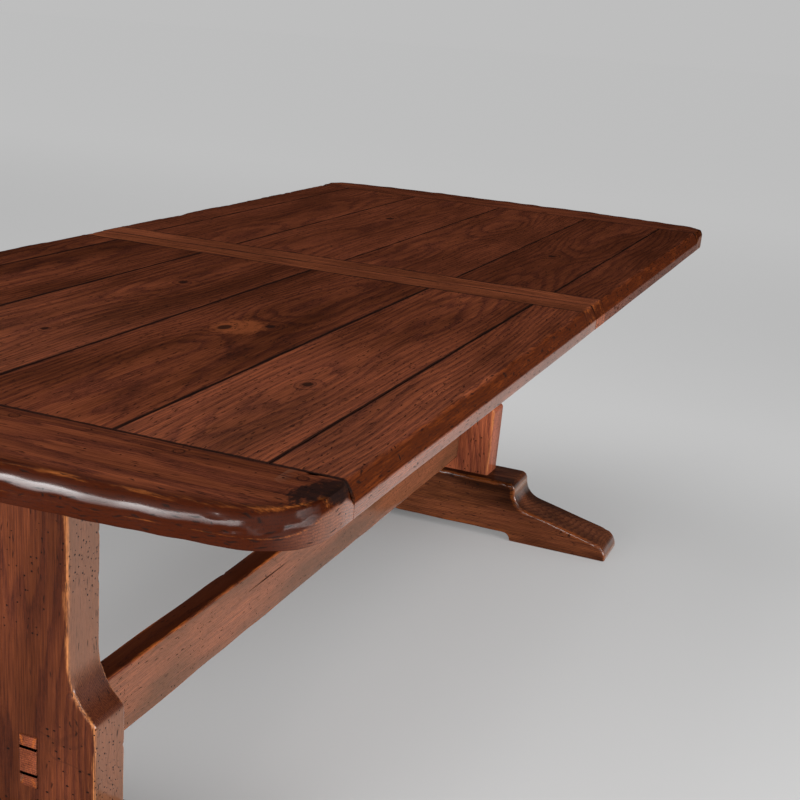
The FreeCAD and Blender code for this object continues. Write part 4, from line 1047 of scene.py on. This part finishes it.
# Old waxed timber: grain and tone, then worn edges, then dirt and burns, under wax; knots bend the rings.
def timberFinish(name, **changes):
    look = {**wood, **changes}
    finish, tree, here = startFinish(name)
    place = put(tree, "ShaderNodeMapping", None, {
        "Vector": here, "Rotation": grainTurn[look["grain"]], "Location": grainOrigin(look)}).outputs[0]
    facePlace = put(tree, "ShaderNodeUVMap", {"uv_map": "facePlace"}).outputs[0]
    names = ("rubbed", "line", "grime", "polish", "dustAndSheen", "upward")
    rubbed, line, seam, polish, dustAndSheen, upward = [
        put(tree, "ShaderNodeAttribute", {"attribute_name": mark}).outputs["Fac"] for mark in names]
    swirl, masks = 0.0, {"knots": 0.0, "burls": 0.0, "burns": 0.0}
    for kind in masks:
        for centre, radii, ragged, bend in look[kind]:
            patch = useGroup(tree, "patch", {
                "Place": here, "Centre": centre, "Radii": radii, "Ragged": ragged, "Bend": bend})
            masks[kind] = maths(tree, "MAXIMUM", masks[kind], patch["Mask"])
            swirl = plus(tree, swirl, patch["Swirl"])
    along = put(tree, "ShaderNodeSeparateXYZ", None, {0: here}).outputs[0]
    # painted sheen: faces that look up at the near end are paled toward the tan tone, standing in for a reflection
    paintedSheen = times(tree, upward, ramp(tree, along, *look["paintedSheenRun"], look["paintedSheen"], 0.0))
    tone = times(tree, ramp(tree, along, *look["fadeRun"], 1.0, 1.0 - look["fade"]), look["tone"])
    grain = useGroup(tree, "grain", {
        "Place": place, "Seed": look["seed"], "Ring Spacing": look["spacing"], "Heart Depth": look["heart"],
        "Wander": look["wander"], "Swirl": swirl})
    holes = timesPlus(tree, dustAndSheen, 1.0 - look["holesOnTop"], look["holesOnTop"])
    holes = times(tree, holes, look["holes"])
    marks = useGroup(tree, "marks", {
        "Face Place": facePlace, "Seed": look["seed"], "Holes": holes, "Dents": look["dents"], "Cuts": look["cuts"]})
    colour = useGroup(tree, "tone", {
        "Dark": look["dark"], "Mid": look["mid"], "Light": look["light"], "Dust And Sheen Tone": look["dustAndSheenTone"],
        "Rings": times(tree, grain["Rings"], look["rings"]),
        "Fibres": times(tree, grain["Fibres"], look["fibre"]),
        "Figure": grain["Figure"], "Figure Share": look["figure"], "Tone": tone,
        "Burl": times(tree, masks["burls"], look["burlShare"]),
        "Dust And Sheen": timesPlus(tree, dustAndSheen, look["dustAndSheen"], paintedSheen)})["Colour"]
    # painted shade: faces that look up are darkened toward the band colour, as on the stretcher's top under the table
    topShade = times(tree, upward, look["paintedTopShade"])
    stainAndShade = greatest(tree, times(tree, rubbed, look["stain"]), topShade)
    colour = useGroup(tree, "wear", {
        "Timber": colour, "Band": look["band"], "Worn": look["worn"], "Stain And Shade": stainAndShade, "Line": line,
        "Mottle": grain["Mottle"], "Fibres": grain["Fibres"], "Streaks": look["streaks"],
        "Rub": look["rub"]})["Colour"]
    pores = times(tree, grain["Pores"], look["pores"])
    smudge = times(tree, ramp(tree, drawnOut(tree, place, "smudge"), *look["smudges"]), look["smudge"])
    dirt = useGroup(tree, "grime", {
        "Timber": colour, "Grime Tone": look["grimeTone"], "Char Tone": look["char"], "Pores": pores,
        "Dents": marks["Dents"], "Holes": marks["Holes"], "Cuts": marks["Cuts"],
        "Knot": maths(tree, "MAXIMUM", masks["knots"], smudge),
        "Seam": times(tree, seam, look["seam"]), "Mottle": grain["Mottle"], "Burnt": masks["burns"]})
    height = useGroup(tree, "relief", {
        "Mottle": grain["Mottle"], "Rings": grain["Rings"], "Pores": pores, "Holes": marks["Holes"],
        "Dents": marks["Dents"], "Cuts": marks["Cuts"], "Knot": masks["knots"]})["Height"]
    wax = useGroup(tree, "wax", {
        "Polish": polish, "Weight": look["coat"], "Dark": dirt["Dark"], "Burnt": masks["burns"],
        "Mottle": grain["Mottle"], "Slow": drawnOut(tree, place, "waxing"), "Patchy": look["patchy"]})
    bump = put(tree, "ShaderNodeBump", None, {
        "Strength": look["bump"], "Distance": look["bumpDepth"], "Height": height})
    endFinish(tree, {
        "Base Color": dirt["Colour"], "Roughness": wax["Rough"], "Normal": bump.outputs[0], "IOR": look["ior"],
        "Specular IOR Level": look["sheen"], "Coat Weight": wax["Coat"], "Coat Roughness": look["gloss"]})
    return finish


# Gives a piece its one finish.
def dress(piece, finish):
    piece.data.materials.clear()
    piece.data.materials.append(finish)


# A dark ring of old dirt round each peg's end in the top: a patch a little wider than the peg.
def pegRings(node):
    return [((x, y, topZ), (0.0085, 0.0085, 0.05), 0.25, 0.001) for x, y, _ in pinMiddles(node)]


# A knot at a place on the top, with its two radii: a patch is a centre, radii, raggedness and how far it bends rings.
def knotAt(x, y, along, across):
    return (x, y, topZ), (along, across, 0.02), 0.5, 0.007


# Each plank's own tone, ring spacing, heart depth and the sideways place of its heart, from right to left.
plankLooks = {
    "near": [(1.20, 0.0026, 0.34, 0.10), (1.14, 0.0032, 0.20, 0.01), (0.90, 0.0032, 0.24, -0.03),
             (1.08, 0.0034, 0.18, 0.02), (0.96, 0.0030, 0.26, 0.04), (0.92, 0.0028, 0.30, -0.06)],
    "far": [(0.68, 0.0028, 0.30, 0.09), (0.78, 0.0034, 0.22, -0.02), (0.94, 0.0030, 0.26, 0.05),
            (1.02, 0.0036, 0.20, 0.00), (0.92, 0.0032, 0.24, -0.04), (0.88, 0.0028, 0.30, 0.07)],
}
plankKnots = {
    "near_plank_2": {"knots": [knotAt(-0.726, -0.297, 0.012, 0.008)]},
    "near_plank_3": {
        "knots": [knotAt(-0.535, -0.080, 0.020, 0.011), knotAt(-0.490, -0.128, 0.012, 0.009)],
        "burls": [((-0.520, -0.095, topZ), (0.055, 0.040, 0.03), 0.9, 0.007)]},
    "near_plank_4": {"knots": [knotAt(-0.310, 0.118, 0.012, 0.009), knotAt(-0.70, 0.10, 0.010, 0.006)]},
    "near_plank_5": {"knots": [knotAt(-0.640, 0.300, 0.014, 0.010)]},
    "far_plank_2": {"knots": [knotAt(0.420, -0.290, 0.013, 0.009)]},
    "far_plank_4": {"knots": [knotAt(0.610, 0.130, 0.015, 0.010)]},
}
plankWood = {"grain": "X", "stain": 1.0, "rub": 0.6, "streaks": 0.10, "smudge": 0.85, "worn": (0.17, 0.036, 0.007, 1)}
endWood = {
    "grain": "Y", "tone": 0.91, "spacing": 0.0034, "heart": 0.24, "stain": 1.0, "smudge": 0.6, "patchy": 0.55,
    "worn": (0.24, 0.070, 0.016, 1), "band": (0.028, 0.0055, 0.0020, 1),
}
jointWood = {
    "grain": "Y", "tone": 1.20, "light": (0.245, 0.074, 0.024, 1), "spacing": 0.0028, "heart": 0.3, "wander": 0.01,
    "stain": 1.0, "seam": 0.8, "dents": 0.05, "holes": 0.1,
}
postWood = {
    "grain": "Z", "worn": (0.40, 0.15, 0.050, 1), "dustAndSheenTone": (0.25, 0.115, 0.060, 1), "heart": 0.42, "wander": 0.010,
    "figure": 0.9, "pores": 0.45, "holes": 1.0, "dents": 0.03, "rub": 0.9,
}
footWood = {
    "grain": "Y", "tone": 0.74, "mid": (0.100, 0.029, 0.0120, 1), "light": (0.215, 0.068, 0.0235, 1),
    "dustAndSheenTone": (0.32, 0.155, 0.085, 1), "spacing": 0.0034, "heart": 0.36, "wander": 0.012, "rings": 0.4, "figure": 1.9,
    "pores": 0.5, "holes": 0.4, "dents": 0.05, "rub": 0.5, "dustAndSheen": 0.45, "coat": 1.0, "gloss": 0.13,
}
stretcherWood = {
    "grain": "X", "tone": 0.92, "dustAndSheenTone": (0.26, 0.125, 0.062, 1), "heart": 0.34, "wander": 0.012, "figure": 1.8,
    # its top is painted darker: the shade that falls on it under the table top
    "pores": 0.6, "holes": 0.3, "dents": 0.03, "cuts": 0.5, "paintedTopShade": 0.85, "dustAndSheen": 0.24, "coat": 0.60,
    "burns": [((-0.225, -0.0215, 0.251), (0.09, 0.01, 0.0020), 0.9, 0.0)],       # a drying crack
}
cornerBurns = [((-1.036, -0.480, topZ + 0.002), (0.040, 0.034, 0.017), 1.0, 0.0),
               ((-1.062, -0.455, topZ + 0.002), (0.036, 0.018, 0.017), 2.6, 0.0)]
# What the photograph shows differently on each half; the far one is duller, and its post pale: the far post is the
# same wood as the near one, and its much higher tone paints on it light that the lamps do not give it under the
# table.
halfLooks = {
    "near": {"planks": {"paintedSheen": 0.035, "fade": 0.24}, "end": {"coat": 1.0, "burns": cornerBurns}, "joint": {},
             "post": {"tone": 0.54, "dustAndSheen": 0.32, "coat": 0.75}},
    "far": {"planks": {"coat": 0.3, "dustAndSheen": 0.04, "seam": 0.8, "figure": 0.8, "rings": 0.32, "fibre": 0.6},
            "end": {"coat": 0.5}, "joint": {"coat": 0.3, "dustAndSheen": 0.04},
            "post": {"tone": 2.3, "dustAndSheen": 0.0, "coat": 0.4}},
}
grainSeeds = {"near": 11.6, "far": 8.7, "plankStep": 3.7, "end": 61.0, "joint": 71.0, "post": 81.0, "foot": 91.0,
              "stretcher": 97.0}

for half, looks in plankLooks.items():
    sign = -1 if half == "near" else 1
    own, seeds = halfLooks[half], grainSeeds
    for index, (tone, spacing, heart, aside) in enumerate(looks, 1):
        node = f"{half}_plank_{index}"
        low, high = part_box(node)
        changes = {**plankWood, **own["planks"], **plankKnots.get(node, {})}
        dress(topPieces[node], timberFinish(
            node + "_timber", centre=(0, (low.y + high.y) / 2 + aside, topZ), tone=tone, spacing=spacing, heart=heart,
            seed=index * seeds["plankStep"] + seeds[half], **changes))
    dress(topPieces[half + "_end_cleat"], timberFinish(
        half + "_end_board_timber", centre=(sign * 1.08, 0, topZ), seed=seeds["end"] + sign,
        knots=pegRings(half + "_cleat_pegs"), **{**endWood, **own["end"]}))
    dress(topPieces[half + "_inner_cleat"], timberFinish(
        half + "_joint_board_timber", centre=(sign * 0.12, 0, topZ), seed=seeds["joint"] + sign,
        **{**jointWood, **own["joint"]}))
    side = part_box(half + "_post")[0].x
    dress(basePieces[half + "_post"], timberFinish(
        half + "_upright_timber", centre=(side, 0.02, 0), seed=seeds["post"] + sign, **{**postWood, **own["post"]}))
    dress(basePieces[half + "_foot"], timberFinish(
        half + "_trestle_foot_timber", centre=(side, 0, 0.06), seed=seeds["foot"] + sign, **footWood))
dress(basePieces["stretcher"], timberFinish(
    "stretcher_timber", centre=(0, 0, 0.23), seed=grainSeeds["stretcher"], **stretcherWood))


ironLook = {
    "rustTone": (0.11, 0.035, 0.014, 1), "scaleShare": 0.35, "metallic": 0.9,
    "scaleWarmth": (1, 0.97, 0.94), "metalWarmth": (1, 0.97, 0.92),
    "blotchScale": 60.0, "speckScale": 700.0, "rough": 0.28, "speckRough": 0.2, "streakRough": 0.25,
    "bump": 0.4, "bumpDepth": 0.0003,
}


# Iron: dark scale over brighter metal by a blotchy noise, then rust by a fine one; relief is streaks added to specks.
def ironScaleGroup():
    tree, given, result = startGroup("ironScale", [
        ("Place", "Vector", None), ("Scale Tone", "Color", None), ("Metal Tone", "Color", None),
        ("Rust Tone", "Color", None), ("Rust", "Float", 0.3)], ["Colour", "Rough", "Height"])
    look = ironLook
    blotch = cloud(tree, given["Place"], look["blotchScale"], 4.0, 0.6)
    speck = cloud(tree, given["Place"], look["speckScale"], 3.0, 0.6)
    streak = drawnOut(tree, given["Place"], "ironStreak")
    colour = blendColour(tree, ramp(tree, blotch, 0.4, 0.6), given["Scale Tone"], given["Metal Tone"])
    rusty = times(tree, ramp(tree, speck, 0.5, 0.7), given["Rust"])
    tree.links.new(blendColour(tree, rusty, colour, given["Rust Tone"]), result["Colour"])
    rough = timesPlus(tree, speck, look["speckRough"], look["rough"])
    tree.links.new(timesPlus(tree, streak, look["streakRough"], rough), result["Rough"])
    tree.links.new(timesPlus(tree, streak, 0.4, speck), result["Height"])
    return tree


groups["iron"] = ironScaleGroup()


# Blackened iron of one brightness, with more or less rust; its scale is a share of that brightness.
def ironFinish(name, bright, rust):
    look = ironLook
    finish, tree, here = startFinish(name)
    scale = [bright * look["scaleShare"] * share for share in look["scaleWarmth"]]
    metal = [bright * share for share in look["metalWarmth"]]
    iron = useGroup(tree, "iron", {
        "Place": here, "Scale Tone": (*scale, 1), "Metal Tone": (*metal, 1), "Rust Tone": look["rustTone"],
        "Rust": rust})
    bump = put(tree, "ShaderNodeBump", None, {
        "Strength": look["bump"], "Distance": look["bumpDepth"], "Height": iron["Height"]})
    endFinish(tree, {"Base Color": iron["Colour"], "Metallic": look["metallic"], "Roughness": iron["Rough"],
                     "Normal": bump.outputs[0]})
    return finish


# The parts that are carried over as they were built: only their finish is new, with no face places or wear marks.
plain = {"holes": 0.0, "dents": 0.0, "cuts": 0.0}
sides, halves = ("left", "right"), ("near", "far")
slideParts = [side + "_slide_rail" for side in sides] + [half + "_stop_block" for half in halves]
slideParts += [f"{half}_{side}_runner" for half in halves for side in sides]
pinParts = ["joint_dowels"] + [half + part for half in halves for part in ("_post_pegs", "_tenon_wedges")]
ironParts = [side + part for side in sides for part in ("_catch_plate", "_catch_lever", "_keeper_plate")]
screwParts = ["rail_screws", "catch_screws", "keeper_screws"]
screwParts += [half + part for half in halves for part in ("_runner_screws", "_stop_screws")]
headTimber = timberFinish("head_timber", grain="Y", centre=(0, 0, 0.60), seed=21.0, tone=0.75, **plain)
slideTimber = timberFinish("slide_timber", centre=(0, 0, 0.68), seed=23.0, tone=0.9, spacing=0.004, **plain)
pegTimber = timberFinish("peg_timber", grain="Z", centre=(0, 0, 0.5), seed=27.0, tone=0.7, **plain)
dowelTimber = timberFinish("dowel_timber", centre=(0, 0, 0.5), seed=29.0, tone=1.3, **plain)
carried = [
    (headTimber, [half + "_head" for half in halves]),
    (slideTimber, slideParts),
    (pegTimber, [half + "_cleat_pegs" for half in halves]),
    (dowelTimber, pinParts),
    (ironFinish("blackened_iron", bright=0.22, rust=0.35), ironParts),
    (ironFinish("screw_steel_worn", bright=0.5, rust=0.15), screwParts),
]
for finish, nodes in carried:
    for node in nodes:
        for slotPlace in bpy.data.objects[node].material_slots:
            slotPlace.material = finish
print("finishes made,", len(bpy.data.materials))

# Photograph's camera, solved from the table's own corners; the picture is 800 by 800, and its middle lies off centre.
photoView = {
    "place": (-2.096746, -0.912538, 1.182565), "pitch": 0.35941006, "yaw": 0.37965958, "roll": -0.07909267,
    "focal": 1296.328807, "pictureWide": 800, "centre": (352, 500),      # in pixels
    "sensor": 36.0, "clip": (0.05, 60.0),
}


# The camera's axes: forward from yaw and downward pitch, right and down across it, and both turned by the roll; its
# lens is the focal length times sensor over picture, and its shift puts the centre's pixel on the axis.
def aimCamera():
    v = photoView
    cp, sp, cy, sy = math.cos(v["pitch"]), math.sin(v["pitch"]), math.cos(v["yaw"]), math.sin(v["yaw"])
    forward = np.array([cp * cy, cp * sy, -sp])
    right = np.array([sy, -cy, 0])
    down = np.cross(forward, right)
    c, s = math.cos(v["roll"]), math.sin(v["roll"])
    across, drop = c * right + s * down, -s * right + c * down
    data = bpy.data.cameras.new("photo_camera")
    camera = addObject("photo_camera", data)
    rows = np.eye(4)
    rows[:3, 0], rows[:3, 1], rows[:3, 2], rows[:3, 3] = across, -drop, -forward, v["place"]
    camera.matrix_world = Matrix(rows.tolist())
    wide = v["pictureWide"]
    data.sensor_width = v["sensor"]
    data.lens = v["focal"] * v["sensor"] / wide
    data.shift_x, data.shift_y = 0.5 - v["centre"][0] / wide, v["centre"][1] / wide - 0.5
    data.clip_start, data.clip_end = v["clip"]
    bpy.context.scene.camera = camera


studio = {
    "ambient": 0.42, "horizon": 0.515,
    "floorReach": 60.0, "floorSteps": 29, "floorTone": 0.75, "floorSeen": 0.36, "floorGrain": 0.008,
    "glow": 0.16,              # how much paler the camera sees the floor
    # the glow's changes: axis (0 along, 1 across), where each starts and ends, and its value before and after
    "glowBeyond": [(0, 0.9, 2.2, 0.0, 0.12), (0, 2.4, 8.0, 0.0, 0.08)],
    # the steps across paint shadow and light on the floor beside the table, only within its length
    "paintedFloorShade": [(1, -0.35, 0.35, 0.05, -0.155), (1, -0.8, -0.45, -0.04, 0.0)],
    "paintedShadowWithin": [(0, 0.8, 1.3, 1.0, 0.0), (0, -2.6, -1.6, 0.0, 1.0), (1, 1.0, 2.4, 1.0, 0.0)],
    "lamps": [
        # name, place, aim, width, height, watts, spread in degrees
        ("right_window", (-1.4, -5.0, 0.95), (-1.4, 0, 0.55), 4.2, 1.5, 140.0, 110),
        ("near_window", (-4.4, -1.6, 0.8), (0.2, -0.1, 0.25), 1.6, 1.0, 11.0, 180),
        ("left_softbox", (-3.35, 1.05, 1.22), (-1.12, -0.15, 0.75), 3.1, 1.25, 182.0, 180),
        ("toe_light", (-0.64, -3.4, 2.2), (0.76, -0.4, 0.05), 1.7, 1.2, 36.0, 180),
        ("top_softbox", (0.2, 0.5, 3.6), (0.0, 0, 0), 3.0, 2.4, 26.0, 180),
    ],
}


# A value for camera rays and another for the rest: unseen + (seen - unseen) * Is Camera Ray.
def cameraSees(tree, unseen, seen):
    ray = put(tree, "ShaderNodeLightPath").outputs["Is Camera Ray"]
    sockets = {"Value": ray, "To Min": unseen, "To Max": seen}
    return put(tree, "ShaderNodeMapRange", None, sockets).outputs["Result"]


# The room: a pale world, lamps that each look from their place to their aim, and a floor; what the camera sees of the
# floor is its tone plus a glow, the sum of eased steps along the table, which even it out toward the horizon, and
# across the table, which paint a shadow on its +Y side and a little light on its -Y side.
def lightStudio():
    world = bpy.data.worlds.new("pale_room")
    bpy.context.scene.world = world
    world.use_nodes = True
    tree = world.node_tree
    tree.nodes.clear()
    strength = cameraSees(tree, studio["ambient"], studio["horizon"])
    sky = put(tree, "ShaderNodeBackground", None, {"Color": (1.0, 1.0, 1.0, 1), "Strength": strength})
    put(tree, "ShaderNodeOutputWorld", None, {"Surface": sky.outputs[0]})
    for name, place, aim, wide, tall, power, spread in studio["lamps"]:
        data = bpy.data.lights.new(name, "AREA")
        data.shape, data.size, data.size_y, data.energy = "RECTANGLE", wide, tall, power
        data.spread = math.radians(spread)
        lamp = addObject(name, data)
        lamp.location = place
        lamp.rotation_euler = (Vector(aim) - Vector(place)).to_track_quat("-Z", "Y").to_euler()
    reach = studio["floorReach"]
    mesh = bpy.data.meshes.new("studio_floor")
    steps = np.linspace(-reach, reach, studio["floorSteps"])
    x, y = np.meshgrid(steps, steps)
    places = np.stack([x, y, 0 * x], -1).reshape(-1, 3)
    mesh.from_pydata(places.tolist(), [], gridFaces(len(steps), len(steps), closed=False)[2].tolist())
    addObject("studio_floor", mesh)
    finish, tree, here = startFinish("pale_floor")
    parts = put(tree, "ShaderNodeSeparateXYZ", None, {0: here}).outputs
    glow, paintedShadow = studio["glow"], 0.0
    for axis, *step in studio["glowBeyond"]:
        glow = plus(tree, ramp(tree, parts[axis], *step), glow)
    for axis, *step in studio["paintedFloorShade"]:
        paintedShadow = plus(tree, ramp(tree, parts[axis], *step), paintedShadow)
    for axis, *step in studio["paintedShadowWithin"]:
        paintedShadow = times(tree, paintedShadow, ramp(tree, parts[axis], *step))
    glow = times(tree, cameraSees(tree, 0.0, 1.0), plus(tree, glow, paintedShadow))
    grain = minus(tree, cloud(tree, here, 3.0, 3.0), 0.5)
    share = cameraSees(tree, studio["floorTone"], studio["floorSeen"])
    share = timesPlus(tree, grain, studio["floorGrain"], share)
    tone = put(tree, "ShaderNodeCombineColor", None, {0: share, 1: share, 2: share}).outputs[0]
    endFinish(tree, {"Base Color": tone, "Roughness": 0.9, "Specular IOR Level": 0.0,
                     "Emission Color": (1, 1, 1, 1), "Emission Strength": glow})
    mesh.materials.append(finish)


aimCamera()
lightStudio()
bpy.context.scene.view_settings.view_transform = "Standard"
print("camera, lamps and floor set")
